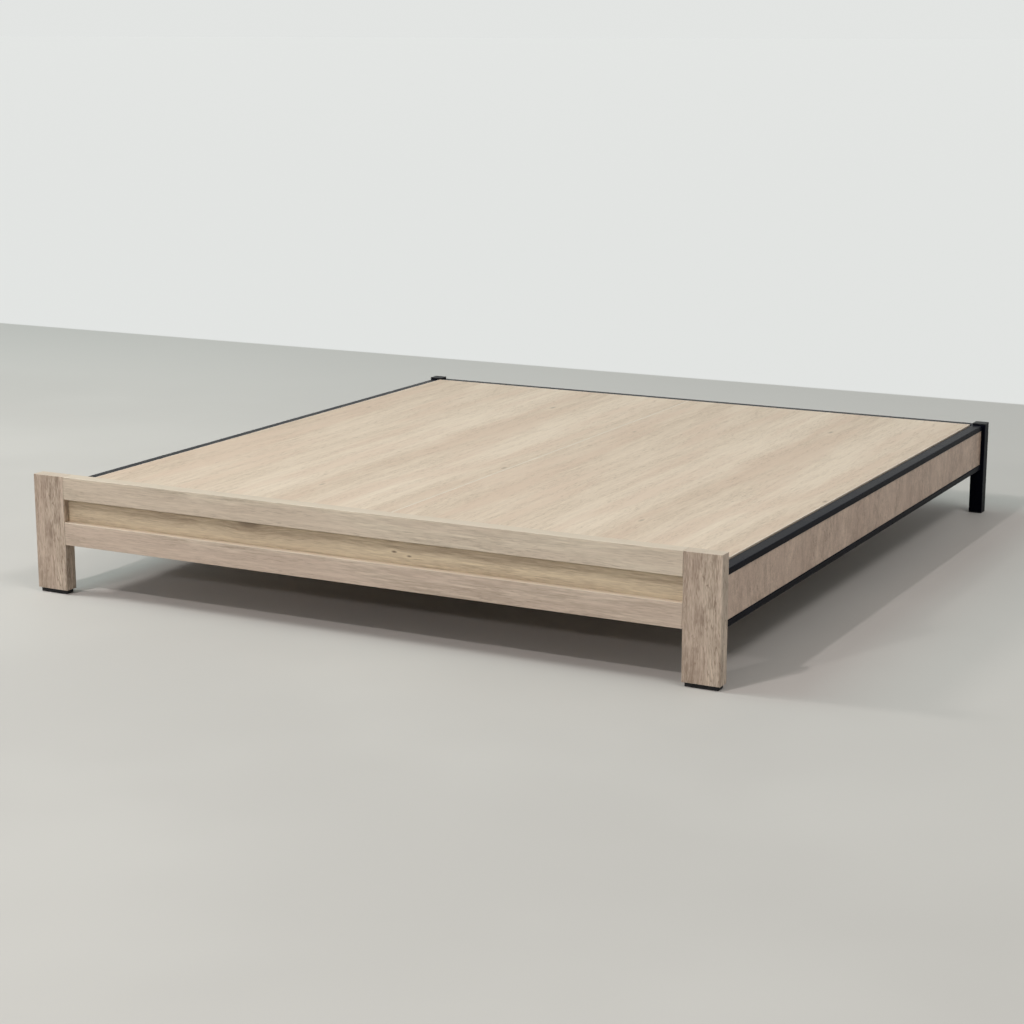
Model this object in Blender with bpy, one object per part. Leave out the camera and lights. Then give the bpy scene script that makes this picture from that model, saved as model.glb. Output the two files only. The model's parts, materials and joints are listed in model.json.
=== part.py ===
"""Low platform bed base: an oak-finish foot end, black steel side frames with oak-finish infill
panels, a rear frame for a headboard, a steel understructure and two loose platform boards.

Axes: +X to the right seen from the foot end, +Y towards the head end, +Z up.
Origin: on the floor, in the middle of the bed's outline. All sizes are in metres.
"""

import math

import bmesh
import bpy
from mathutils import Vector

# Overall sizes
OVERALL_WIDTH = 1.840
OVERALL_LENGTH = 2.014
FOOT_END_HEIGHT = 0.300
UNDERSIDE_HEIGHT = 0.128  # floor to the underside of the lower rails

# Gaps between touching pieces, and clearances of pieces that are put in by hand
CONTACT_GAP = 0.0003
BOARD_SIDE_CLEARANCE = 0.0015
BOARD_FRONT_CLEARANCE = 0.002
BOARD_REAR_CLEARANCE = 0.011
BOARD_SEAM = 0.0006

# Foot end: two posts, two rails and a recessed panel, in wood
POST_WIDTH = 0.090
POST_THICKNESS = 0.036
FOOT_RAIL_HEIGHT = 0.057
PANEL_RECESS = 0.018
FOOT_PANEL_THICKNESS = 0.012
PANEL_TONGUE = 0.008  # how far the panel's edge sits in its grooves
TENON_LENGTH = 0.022
TENON_THICKNESS = 0.012
TENON_SHOULDER = 0.010
WOOD_EDGE_BEVEL = 0.0008
BOARD_EDGE_BEVEL = 0.0004
GLIDE_HEIGHT = 0.010
GLIDE_MARGIN = 0.005  # post edge to glide edge
GLIDE_EDGE_BEVEL = 0.0015

# Steel side and rear frames
RAIL_WIDTH = 0.032
RAIL_HEIGHT = 0.015
RAIL_WALL = 0.0015
RAIL_CORNER = 0.0025
RAIL_INSET = 0.008  # outer face of a rear post to the outer face of the rails that meet it
SIDE_RAIL_TOP = 0.258
SIDE_PANEL_THICKNESS = 0.015
SIDE_PANEL_INSET = 0.003
REAR_POST_SIZE = 0.038
REAR_POST_WALL = 0.0018
REAR_POST_PROUD = 0.005  # top of the post above the top of the rails
CAP_FLANGE = 0.003
CAP_PLUG = 0.014
END_PLATE_THICKNESS = 0.004
FRONT_PLATE_MARGIN = 0.018  # axis of the bolts to the inner edge of the front plate
LEDGE_THICKNESS = 0.003
LEDGE_SHELF = 0.036
UPRIGHT_WIDTH = 0.038
UPRIGHT_DEPTH = 0.020

# Understructure
CROSS_BAR_COUNT = 6
CROSS_BAR_WIDTH = 0.038
CROSS_BAR_HEIGHT = 0.020
CROSS_BAR_WALL = 0.0012
CROSS_BAR_END_CLEARANCE = 0.001  # to the inner face of the side rail
CROSS_BAR_END_DISTANCE = 0.075  # foot end or rear rail to the centre of the nearest bar
BEAM_WIDTH = 0.025
BEAM_HEIGHT = 0.050
BEAM_WALL = 0.0015
BEAM_END_CLEARANCE = 0.001
BRACKET_STEEL = 0.003
BRACKET_PLATE_WIDTH = 0.070
BRACKET_PLATE_DROP = 0.036  # below the underside of the beam
BRACKET_CHEEK = 0.030
BRACKET_LENGTH = 0.040
LEG_OFFSETS = (-0.320, 0.320)  # along Y from the middle of the bed
LEG_RADIUS = 0.016
LEG_WALL = 0.0015
LEG_PLATE_LENGTH = 0.080
LEG_PLATE_WIDTH = 0.036
LEG_PLATE_THICKNESS = 0.003
LEG_PLUG_FLANGE = 0.003
LEG_PLUG_DEPTH = 0.020
LEVELLER_PAD_RADIUS = 0.019
LEVELLER_PAD_HEIGHT = 0.007
LEVELLER_STEM_REACH = 0.052
STEM_RADIUS = 0.004
SCREW_RADIUS = 0.0022
SCREW_HEAD_RADIUS = 0.0045
SCREW_HEAD_HEIGHT = 0.0026
SCREW_LENGTH = 0.022
SCREW_FROM_PLATE_EDGE = 0.009

# Platform boards
BOARD_THICKNESS = 0.018
BOARD_PROUD = 0.0025  # top of the boards above the top of the rails

# Bolts and threaded inserts
BOLT_RADIUS = 0.004
BOLT_HEAD_RADIUS = 0.007
BOLT_HEAD_HEIGHT = 0.0045
BOLT_SOCKET_RADIUS = 0.0029
BOLT_SOCKET_DEPTH = 0.0026
FRONT_BOLT_LENGTH = 0.022
REAR_BOLT_LENGTH = 0.014
BOLT_HOLE_CLEARANCE = 0.0004
BOLT_HEAD_CLEARANCE = 0.002
INSERT_RADIUS = 0.006
INSERT_LENGTH = 0.020
INSERT_FROM_TENON = 0.004

ROUND_SEGMENTS = 32
BOLT_SEGMENTS = 24
SCREW_SEGMENTS = 16
CORNER_SEGMENTS = 3

# Places worked out from the sizes above
HALF_WIDTH = OVERALL_WIDTH / 2
FRONT_Y = -OVERALL_LENGTH / 2
REAR_Y = OVERALL_LENGTH / 2
POST_INNER_X = HALF_WIDTH - POST_WIDTH
FOOT_BACK_Y = FRONT_Y + POST_THICKNESS
FOOT_MIDDLE_Y = (FRONT_Y + FOOT_BACK_Y) / 2
FOOT_TOP_RAIL_UNDERSIDE = FOOT_END_HEIGHT - FOOT_RAIL_HEIGHT
FOOT_BOTTOM_RAIL_TOP = UNDERSIDE_HEIGHT + FOOT_RAIL_HEIGHT
PANEL_FRONT_Y = FRONT_Y + PANEL_RECESS
PANEL_BACK_Y = PANEL_FRONT_Y + FOOT_PANEL_THICKNESS

RAIL_OUTER_X = HALF_WIDTH - RAIL_INSET
RAIL_INNER_X = RAIL_OUTER_X - RAIL_WIDTH
UPPER_RAIL_UNDERSIDE = SIDE_RAIL_TOP - RAIL_HEIGHT
LOWER_RAIL_TOP = UNDERSIDE_HEIGHT + RAIL_HEIGHT
SIDE_PANEL_OUTER_X = RAIL_OUTER_X - SIDE_PANEL_INSET
SIDE_PANEL_INNER_X = SIDE_PANEL_OUTER_X - SIDE_PANEL_THICKNESS
SIDE_FRONT_Y = FOOT_BACK_Y + CONTACT_GAP
PLATE_BACK_Y = SIDE_FRONT_Y + END_PLATE_THICKNESS
REAR_POST_FRONT_Y = REAR_Y - REAR_POST_SIZE
SIDE_REAR_Y = REAR_POST_FRONT_Y - CONTACT_GAP
REAR_POST_INNER_X = HALF_WIDTH - REAR_POST_SIZE
REAR_RAIL_BACK_Y = REAR_Y - RAIL_INSET
REAR_RAIL_FRONT_Y = REAR_POST_FRONT_Y
REAR_RAIL_WIDTH = REAR_RAIL_BACK_Y - REAR_RAIL_FRONT_Y
REAR_PLATE_INNER_X = REAR_POST_INNER_X - CONTACT_GAP - END_PLATE_THICKNESS

BOARD_TOP = SIDE_RAIL_TOP + BOARD_PROUD
BOARD_UNDERSIDE = BOARD_TOP - BOARD_THICKNESS
CROSS_BAR_TOP = BOARD_UNDERSIDE - CONTACT_GAP
CROSS_BAR_UNDERSIDE = CROSS_BAR_TOP - CROSS_BAR_HEIGHT
LEDGE_TOP = CROSS_BAR_UNDERSIDE - CONTACT_GAP
LEDGE_UNDERSIDE = LEDGE_TOP - LEDGE_THICKNESS
LEDGE_OUTER_X = SIDE_PANEL_INNER_X - CONTACT_GAP
BEAM_TOP = CROSS_BAR_UNDERSIDE - CONTACT_GAP
BEAM_UNDERSIDE = BEAM_TOP - BEAM_HEIGHT
FRONT_BRACKET_Y = FOOT_BACK_Y + CONTACT_GAP
REAR_BRACKET_Y = REAR_RAIL_FRONT_Y - CONTACT_GAP
LEG_PLATE_TOP = BEAM_UNDERSIDE - CONTACT_GAP
LEG_UNDERSIDE = LEVELLER_PAD_HEIGHT + CONTACT_GAP
FRONT_BOLT_X = POST_INNER_X + TENON_LENGTH + INSERT_FROM_TENON + INSERT_RADIUS
REAR_BOLT_Y = REAR_Y - REAR_POST_SIZE / 2
BOLT_EDGE = BOLT_HEAD_RADIUS + BOLT_HEAD_CLEARANCE
BOLT_HEIGHTS = (LOWER_RAIL_TOP + BOLT_EDGE, LEDGE_UNDERSIDE - BOLT_EDGE)
SCREW_X = BRACKET_PLATE_WIDTH / 2 - SCREW_FROM_PLATE_EDGE
SCREW_Z = UNDERSIDE_HEIGHT + FOOT_RAIL_HEIGHT / 2

LEFT, RIGHT = -1, 1
SIDES = (("left", LEFT), ("right", RIGHT))


# Scene, materials and placing

def clear_scene():
    for obj in list(bpy.data.objects):
        bpy.data.objects.remove(obj)


def material(name, colour, roughness, metallic=0.0):
    made = bpy.data.materials.new(name)
    made.use_nodes = True
    shader = made.node_tree.nodes["Principled BSDF"]
    shader.inputs["Base Color"].default_value = (*colour, 1.0)
    shader.inputs["Roughness"].default_value = roughness
    shader.inputs["Metallic"].default_value = metallic
    return made


def group(name, location=(0, 0, 0)):
    empty = bpy.data.objects.new(name, None)
    empty.location = location
    bpy.context.scene.collection.objects.link(empty)
    return empty


def place(name, mesh_data, finish, parent, location, rotation=(0, 0, 0)):
    """An object of this mesh, at a place given in the bed's own axes."""
    obj = bpy.data.objects.new(name, mesh_data)
    bpy.context.scene.collection.objects.link(obj)
    if finish is not None:
        mesh_data.materials.clear()
        mesh_data.materials.append(finish)
    if parent is not None:
        obj.parent = parent
        location = Vector(location) - parent.location
    obj.location = location
    obj.rotation_euler = rotation
    return obj


# Meshes, each about its own middle or its own axis

def mesh_from(name, build):
    bm = bmesh.new()
    build(bm)
    bmesh.ops.recalc_face_normals(bm, faces=bm.faces)
    made = bpy.data.meshes.new(name)
    bm.to_mesh(made)
    bm.free()
    return made


def box_mesh(name, size):
    def build(bm):
        bmesh.ops.create_cube(bm, size=1.0)
        bmesh.ops.scale(bm, vec=size, verts=bm.verts)

    return mesh_from(name, build)


def rounded_rectangle(width, height, corner):
    """Corner points of a rectangle with round corners, anticlockwise about its middle."""
    points = []
    for quarter in range(4):
        turn = quarter * math.pi / 2
        side_x = (1, -1, -1, 1)[quarter]
        side_y = (1, 1, -1, -1)[quarter]
        centre = Vector((side_x * (width / 2 - corner), side_y * (height / 2 - corner)))
        for step in range(CORNER_SEGMENTS + 1):
            angle = turn + step * math.pi / 2 / CORNER_SEGMENTS
            points.append(centre + corner * Vector((math.cos(angle), math.sin(angle))))
    return points


def prism_mesh(name, outline, depth):
    """An outline in XY, extruded along Z about its middle."""
    def build(bm):
        low = [bm.verts.new((x, y, -depth / 2)) for x, y in outline]
        face = bm.faces.new(low)
        raised = bmesh.ops.extrude_face_region(bm, geom=[face])
        verts = [item for item in raised["geom"] if isinstance(item, bmesh.types.BMVert)]
        bmesh.ops.translate(bm, vec=(0, 0, depth), verts=verts)

    return mesh_from(name, build)


def tube_mesh(name, width, height, length, wall, corner):
    """A rectangular tube with round corners and open ends, along Z about its middle."""
    outer = rounded_rectangle(width, height, corner)
    inner = rounded_rectangle(width - 2 * wall, height - 2 * wall, max(corner - wall, wall / 4))

    def build(bm):
        rings = []
        for outline in (outer, inner):
            for z in (-length / 2, length / 2):
                rings.append([bm.verts.new((point.x, point.y, z)) for point in outline])
        outer_low, outer_high, inner_low, inner_high = rings
        around = [outer_low, outer_high, inner_high, inner_low, outer_low]
        for first, second in zip(around, around[1:]):
            join_rings(bm, first, second)

    return mesh_from(name, build)


def turned_mesh(name, profile, segments=ROUND_SEGMENTS):
    """A profile of (radius, height) points turned about Z. Points at radius 0 close its ends."""
    def build(bm):
        rings = []
        for radius, height in profile:
            if radius == 0:
                rings.append([bm.verts.new((0, 0, height))])
                continue
            ring = []
            for step in range(segments):
                angle = 2 * math.pi * step / segments
                ring.append(bm.verts.new((radius * math.cos(angle), radius * math.sin(angle), height)))
            rings.append(ring)
        closed = profile[0][0] != 0
        last = len(rings) if closed else len(rings) - 1
        for index in range(last):
            join_rings(bm, rings[index], rings[(index + 1) % len(rings)])

    return mesh_from(name, build)


def join_rings(bm, first, second):
    """Faces between two rings of points, either of which may be one point on the axis."""
    segments = max(len(first), len(second))
    for step in range(segments):
        following = (step + 1) % segments
        if len(first) == 1:
            bm.faces.new((first[0], second[step], second[following]))
        elif len(second) == 1:
            bm.faces.new((first[step], first[following], second[0]))
        else:
            bm.faces.new((first[step], first[following], second[following], second[step]))


# Finishing: edges, cuts and joins

def bevel_edges(obj, width):
    bevel = obj.modifiers.new("edges", "BEVEL")
    bevel.width = width
    bevel.segments = 1
    bevel.limit_method = "ANGLE"


def combine(obj, other, operation):
    """A Boolean with another object, which is then only a helper: hidden, and drawn as wires."""
    boolean = obj.modifiers.new(operation.lower(), "BOOLEAN")
    boolean.operation = operation
    boolean.solver = "EXACT"
    boolean.object = other
    other.hide_render = True
    other.display_type = "WIRE"


def cut_box(obj, low, high):
    """Takes the box between two corners, given in the bed's own axes, out of the object."""
    combine(obj, box_between(obj.name + "_cutter", low, high, None, None), "DIFFERENCE")


def cut_round(obj, centre, axis, radius, length):
    """Takes a round hole about a point and an axis, both in the bed's own axes, out of the object."""
    name = obj.name + "_drill"
    half = length / 2
    data = turned_mesh(name, [(0, -half), (radius, -half), (radius, half), (0, half)])
    turn = Vector(axis).to_track_quat("Z", "Y").to_euler()
    combine(obj, place(name, data, None, None, centre, turn), "DIFFERENCE")


def box_between(name, low, high, finish, parent):
    low, high = Vector(low), Vector(high)
    return place(name, box_mesh(name, high - low), finish, parent, (low + high) / 2)


def shade_round(obj):
    obj.data.shade_smooth()
    obj.data.set_sharp_from_angle(angle=math.radians(35))


def mirror_span(side, inner, outer):
    """Lowest and highest X of a piece between two distances from the middle, on one side."""
    return (inner, outer) if side > 0 else (-outer, -inner)


# Foot end

def foot_post(label, side, finish, parent):
    x_low, x_high = mirror_span(side, POST_INNER_X, HALF_WIDTH)
    low = (x_low, FRONT_Y, GLIDE_HEIGHT + CONTACT_GAP)
    post = box_between(f"foot_post_{label}", low, (x_high, FOOT_BACK_Y, FOOT_END_HEIGHT), finish, parent)
    bevel_edges(post, WOOD_EDGE_BEVEL)
    for rail_bottom in (UNDERSIDE_HEIGHT, FOOT_TOP_RAIL_UNDERSIDE):
        cut_mortise(post, side, rail_bottom)
    reach = PANEL_TONGUE + CONTACT_GAP
    groove_low, groove_high = mirror_span(side, POST_INNER_X - reach, POST_INNER_X + reach)
    cut_box(
        post,
        (groove_low, PANEL_FRONT_Y - CONTACT_GAP, FOOT_BOTTOM_RAIL_TOP - reach),
        (groove_high, PANEL_BACK_Y + CONTACT_GAP, FOOT_TOP_RAIL_UNDERSIDE + reach),
    )
    for height in BOLT_HEIGHTS:
        centre = (side * FRONT_BOLT_X, FOOT_BACK_Y, height)
        cut_round(post, centre, (0, 1, 0), INSERT_RADIUS + CONTACT_GAP, 2 * (INSERT_LENGTH + CONTACT_GAP))


def tenon_span(rail_bottom, clearance):
    """Lowest and highest (Y, Z) of a rail's tenon, or of its mortise with this clearance."""
    half = TENON_THICKNESS / 2 + clearance
    low = (FOOT_MIDDLE_Y - half, rail_bottom + TENON_SHOULDER - clearance)
    high = (FOOT_MIDDLE_Y + half, rail_bottom + FOOT_RAIL_HEIGHT - TENON_SHOULDER + clearance)
    return low, high


def cut_mortise(post, side, rail_bottom):
    reach = TENON_LENGTH + CONTACT_GAP
    x_low, x_high = mirror_span(side, POST_INNER_X - reach, POST_INNER_X + reach)
    low, high = tenon_span(rail_bottom, CONTACT_GAP)
    cut_box(post, (x_low, *low), (x_high, *high))


def foot_rail(name, bottom, groove_low, groove_high, finish, parent):
    """A rail between the posts, with a tenon at each end and a groove for the panel's edge."""
    half = POST_INNER_X - CONTACT_GAP
    top = bottom + FOOT_RAIL_HEIGHT
    rail = box_between(name, (-half, FRONT_Y, bottom), (half, FOOT_BACK_Y, top), finish, parent)
    bevel_edges(rail, WOOD_EDGE_BEVEL)
    low, high = tenon_span(bottom, 0)
    reach = half + TENON_LENGTH
    combine(rail, box_between(name + "_tenons", (-reach, *low), (reach, *high), None, None), "UNION")
    cut_box(
        rail,
        (-HALF_WIDTH, PANEL_FRONT_Y - CONTACT_GAP, groove_low),
        (HALF_WIDTH, PANEL_BACK_Y + CONTACT_GAP, groove_high),
    )
    return rail


def foot_end(wood, panel_wood, plastic):
    parent = group("foot_end", (0, FOOT_MIDDLE_Y, 0))
    for label, side in SIDES:
        foot_post(label, side, wood, parent)
        x_low, x_high = mirror_span(side, POST_INNER_X + GLIDE_MARGIN, HALF_WIDTH - GLIDE_MARGIN)
        glide = box_between(
            f"foot_glide_{label}",
            (x_low, FRONT_Y + GLIDE_MARGIN, 0),
            (x_high, FOOT_BACK_Y - GLIDE_MARGIN, GLIDE_HEIGHT),
            plastic,
            parent,
        )
        bevel_edges(glide, GLIDE_EDGE_BEVEL)
    bottom_rail = foot_rail(
        "foot_bottom_rail",
        UNDERSIDE_HEIGHT,
        FOOT_BOTTOM_RAIL_TOP - PANEL_TONGUE - CONTACT_GAP,
        FOOT_BOTTOM_RAIL_TOP + PANEL_TONGUE,
        wood,
        parent,
    )
    for side in (LEFT, RIGHT):
        centre = (side * SCREW_X, FOOT_BACK_Y, SCREW_Z)
        cut_round(bottom_rail, centre, (0, 1, 0), SCREW_RADIUS + CONTACT_GAP, 2 * SCREW_LENGTH)
    foot_rail(
        "foot_top_rail",
        FOOT_TOP_RAIL_UNDERSIDE,
        FOOT_TOP_RAIL_UNDERSIDE - PANEL_TONGUE,
        FOOT_TOP_RAIL_UNDERSIDE + PANEL_TONGUE + CONTACT_GAP,
        wood,
        parent,
    )
    half = POST_INNER_X + PANEL_TONGUE
    box_between(
        "foot_panel",
        (-half, PANEL_FRONT_Y, FOOT_BOTTOM_RAIL_TOP - PANEL_TONGUE),
        (half, PANEL_BACK_Y, FOOT_TOP_RAIL_UNDERSIDE + PANEL_TONGUE),
        panel_wood,
        parent,
    )


# Side frames

def side_rail(name, side, bottom, finish, parent):
    length = SIDE_REAR_Y - SIDE_FRONT_Y
    data = tube_mesh(name, RAIL_WIDTH, RAIL_HEIGHT, length, RAIL_WALL, RAIL_CORNER)
    centre = (
        side * (RAIL_OUTER_X + RAIL_INNER_X) / 2,
        (SIDE_REAR_Y + SIDE_FRONT_Y) / 2,
        bottom + RAIL_HEIGHT / 2,
    )
    shade_round(place(name, data, finish, parent, centre, (math.pi / 2, 0, 0)))


def front_plate(label, side, finish, parent):
    """The plate between the front ends of the side rails, bolted to the back of the foot post.
    Its outer edge stops behind the side panel and its top stays below the platform board."""
    x_low, x_high = mirror_span(side, FRONT_BOLT_X - FRONT_PLATE_MARGIN, LEDGE_OUTER_X)
    top = min(BOARD_UNDERSIDE, UPPER_RAIL_UNDERSIDE) - CONTACT_GAP
    plate = box_between(
        f"front_plate_{label}",
        (x_low, SIDE_FRONT_Y, LOWER_RAIL_TOP + CONTACT_GAP),
        (x_high, PLATE_BACK_Y, top),
        finish,
        parent,
    )
    for height in BOLT_HEIGHTS:
        centre = (side * FRONT_BOLT_X, PLATE_BACK_Y, height)
        cut_round(plate, centre, (0, 1, 0), BOLT_RADIUS + BOLT_HOLE_CLEARANCE, 3 * END_PLATE_THICKNESS)


def ledge_angle(label, side, finish, parent):
    """An angle hung from the underside of the upper rail: its shelf carries the cross bars."""
    outer = side * LEDGE_OUTER_X
    leg_inner = side * (LEDGE_OUTER_X - LEDGE_THICKNESS)
    shelf_inner = side * (LEDGE_OUTER_X - LEDGE_SHELF)
    top = UPPER_RAIL_UNDERSIDE - CONTACT_GAP
    outline = [(shelf_inner, LEDGE_UNDERSIDE), (outer, LEDGE_UNDERSIDE), (outer, top), (leg_inner, top)]
    outline += [(leg_inner, LEDGE_TOP), (shelf_inner, LEDGE_TOP)]
    front = PLATE_BACK_Y + CONTACT_GAP
    name = f"ledge_angle_{label}"
    data = prism_mesh(name, outline, SIDE_REAR_Y - front)
    place(name, data, finish, parent, (0, (SIDE_REAR_Y + front) / 2, 0), (math.pi / 2, 0, 0))


def rear_post(label, side, steel, plastic, parent):
    name = f"rear_post_{label}"
    bottom = CAP_FLANGE + CONTACT_GAP
    post_top = SIDE_RAIL_TOP + REAR_POST_PROUD
    top = post_top - CAP_FLANGE - CONTACT_GAP
    centre_x = side * (HALF_WIDTH - REAR_POST_SIZE / 2)
    data = tube_mesh(name, REAR_POST_SIZE, REAR_POST_SIZE, top - bottom, REAR_POST_WALL, RAIL_CORNER)
    post = place(name, data, steel, parent, (centre_x, REAR_BOLT_Y, (top + bottom) / 2))
    shade_round(post)
    for height in BOLT_HEIGHTS:
        centre = (side * REAR_POST_INNER_X, REAR_BOLT_Y, height)
        cut_round(post, centre, (1, 0, 0), BOLT_RADIUS + BOLT_HOLE_CLEARANCE, 4 * REAR_POST_WALL)
    post_plug(f"rear_post_cap_{label}", (centre_x, REAR_BOLT_Y, post_top), math.pi, plastic, parent)
    post_plug(f"rear_post_foot_{label}", (centre_x, REAR_BOLT_Y, 0), 0, plastic, parent)


def post_plug(name, outer_face, turn, finish, parent):
    """A square flange with a plug behind it that fits inside the post, built up from its outer face."""
    plug_side = REAR_POST_SIZE - 2 * REAR_POST_WALL - 2 * CONTACT_GAP
    flange = rounded_rectangle(REAR_POST_SIZE, REAR_POST_SIZE, RAIL_CORNER)
    plug = rounded_rectangle(plug_side, plug_side, RAIL_CORNER)

    def build(bm):
        outlines = ((flange, 0), (flange, CAP_FLANGE), (plug, CAP_FLANGE), (plug, CAP_FLANGE + CAP_PLUG))
        rings = [[bm.verts.new((point.x, point.y, z)) for point in outline] for outline, z in outlines]
        bm.faces.new(rings[0])
        bm.faces.new(rings[-1])
        for first, second in zip(rings, rings[1:]):
            join_rings(bm, first, second)

    shade_round(place(name, mesh_from(name, build), finish, parent, outer_face, (turn, 0, 0)))


def side_frames(steel, side_wood, plastic):
    for label, side in SIDES:
        parent = group(f"side_frame_{label}", (side * RAIL_OUTER_X, 0, 0))
        side_rail(f"side_upper_rail_{label}", side, UPPER_RAIL_UNDERSIDE, steel, parent)
        side_rail(f"side_lower_rail_{label}", side, UNDERSIDE_HEIGHT, steel, parent)
        x_low, x_high = mirror_span(side, SIDE_PANEL_INNER_X, SIDE_PANEL_OUTER_X)
        box_between(
            f"side_panel_{label}",
            (x_low, SIDE_FRONT_Y, LOWER_RAIL_TOP + CONTACT_GAP),
            (x_high, SIDE_REAR_Y, UPPER_RAIL_UNDERSIDE - CONTACT_GAP),
            side_wood,
            parent,
        )
        front_plate(label, side, steel, parent)
        ledge_angle(label, side, steel, parent)
        rear_post(label, side, steel, plastic, parent)


# Rear frame

def rear_frame(steel):
    parent = group("rear_frame", (0, REAR_RAIL_BACK_Y, 0))
    length = 2 * (REAR_PLATE_INNER_X - CONTACT_GAP)
    middle_y = (REAR_RAIL_FRONT_Y + REAR_RAIL_BACK_Y) / 2
    for name, bottom in (("rear_upper_rail", UPPER_RAIL_UNDERSIDE), ("rear_lower_rail", UNDERSIDE_HEIGHT)):
        data = tube_mesh(name, RAIL_HEIGHT, REAR_RAIL_WIDTH, length, RAIL_WALL, RAIL_CORNER)
        centre = (0, middle_y, bottom + RAIL_HEIGHT / 2)
        shade_round(place(name, data, steel, parent, centre, (0, math.pi / 2, 0)))
    upright_low = LOWER_RAIL_TOP + CONTACT_GAP
    upright_high = UPPER_RAIL_UNDERSIDE - CONTACT_GAP
    height = upright_high - upright_low
    data = tube_mesh("rear_upright", UPRIGHT_WIDTH, UPRIGHT_DEPTH, height, RAIL_WALL, RAIL_CORNER)
    centre = (0, REAR_RAIL_FRONT_Y + UPRIGHT_DEPTH / 2, (upright_low + upright_high) / 2)
    shade_round(place("rear_upright", data, steel, parent, centre))
    for label, side in SIDES:
        x_low, x_high = mirror_span(side, REAR_PLATE_INNER_X, REAR_PLATE_INNER_X + END_PLATE_THICKNESS)
        plate = box_between(
            f"rear_plate_{label}",
            (x_low, REAR_POST_FRONT_Y, UNDERSIDE_HEIGHT),
            (x_high, REAR_RAIL_BACK_Y, SIDE_RAIL_TOP),
            steel,
            parent,
        )
        for height in BOLT_HEIGHTS:
            centre = (side * REAR_PLATE_INNER_X, REAR_BOLT_Y, height)
            cut_round(plate, centre, (1, 0, 0), BOLT_RADIUS + BOLT_HOLE_CLEARANCE, 3 * END_PLATE_THICKNESS)


# Understructure

def cross_bars(steel):
    parent = group("cross_bars", (0, 0, CROSS_BAR_UNDERSIDE))
    half = RAIL_INNER_X - CROSS_BAR_END_CLEARANCE
    first = FOOT_BACK_Y + CROSS_BAR_END_DISTANCE
    last = REAR_RAIL_FRONT_Y - CROSS_BAR_END_DISTANCE
    for index in range(CROSS_BAR_COUNT):
        y = first + (last - first) * index / (CROSS_BAR_COUNT - 1)
        name = f"cross_bar_{index + 1}"
        data = tube_mesh(name, CROSS_BAR_HEIGHT, CROSS_BAR_WIDTH, 2 * half, CROSS_BAR_WALL, RAIL_CORNER)
        centre = (0, y, CROSS_BAR_UNDERSIDE + CROSS_BAR_HEIGHT / 2)
        shade_round(place(name, data, steel, parent, centre, (0, math.pi / 2, 0)))


def beam_bracket(name, back_y, direction, finish, parent):
    """A wall plate with a U-shaped seat for one end of the beam. Direction is +1 where the seat
    reaches towards the head end and -1 where it reaches towards the foot end."""
    inner = BEAM_WIDTH / 2 + CONTACT_GAP
    outer = inner + BRACKET_STEEL
    seat = BEAM_UNDERSIDE - CONTACT_GAP
    cheek_top = BEAM_UNDERSIDE + BRACKET_CHEEK
    bottom = seat - BRACKET_STEEL
    right_half = [(outer, bottom), (outer, cheek_top), (inner, cheek_top), (inner, seat)]
    outline = right_half + [(-x, z) for x, z in reversed(right_half)]
    cradle_mesh = prism_mesh(name + "_cradle", outline, BRACKET_LENGTH)
    cradle_y = back_y + direction * (BRACKET_LENGTH / 2 + BRACKET_STEEL / 2)
    cradle = place(name + "_cradle", cradle_mesh, None, None, (0, cradle_y, 0), (math.pi / 2, 0, 0))
    near, far = sorted((back_y, back_y + direction * BRACKET_STEEL))
    plate = box_between(
        name,
        (-BRACKET_PLATE_WIDTH / 2, near, BEAM_UNDERSIDE - BRACKET_PLATE_DROP),
        (BRACKET_PLATE_WIDTH / 2, far, cheek_top),
        finish,
        parent,
    )
    combine(plate, cradle, "UNION")
    return plate


def centre_leg(label, y, steel, plastic, zinc, parent):
    """A round leg under the beam, with a threaded plug in its lower end for the levelling foot."""
    name = f"centre_leg_{label}"
    tube_bottom = LEG_UNDERSIDE + LEG_PLUG_FLANGE + CONTACT_GAP
    plate_bottom = LEG_PLATE_TOP - LEG_PLATE_THICKNESS
    tube_top = plate_bottom + LEG_PLATE_THICKNESS / 3
    inner = LEG_RADIUS - LEG_WALL
    ring = [(LEG_RADIUS, tube_bottom), (LEG_RADIUS, tube_top), (inner, tube_top), (inner, tube_bottom)]
    tube = place(name + "_tube", turned_mesh(name + "_tube", ring), None, None, (0, y, 0))
    plate = box_between(
        name,
        (-LEG_PLATE_WIDTH / 2, y - LEG_PLATE_LENGTH / 2, plate_bottom),
        (LEG_PLATE_WIDTH / 2, y + LEG_PLATE_LENGTH / 2, LEG_PLATE_TOP),
        steel,
        parent,
    )
    combine(plate, tube, "UNION")
    bore = STEM_RADIUS + CONTACT_GAP
    body = inner - CONTACT_GAP
    plug = [(bore, 0), (LEG_RADIUS, 0), (LEG_RADIUS, LEG_PLUG_FLANGE), (body, LEG_PLUG_FLANGE)]
    plug += [(body, LEG_PLUG_DEPTH), (bore, LEG_PLUG_DEPTH)]
    data = turned_mesh(f"leg_plug_{label}", plug)
    shade_round(place(f"leg_plug_{label}", data, plastic, parent, (0, y, LEG_UNDERSIDE)))
    levelling_foot(label, y, zinc, parent)


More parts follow.
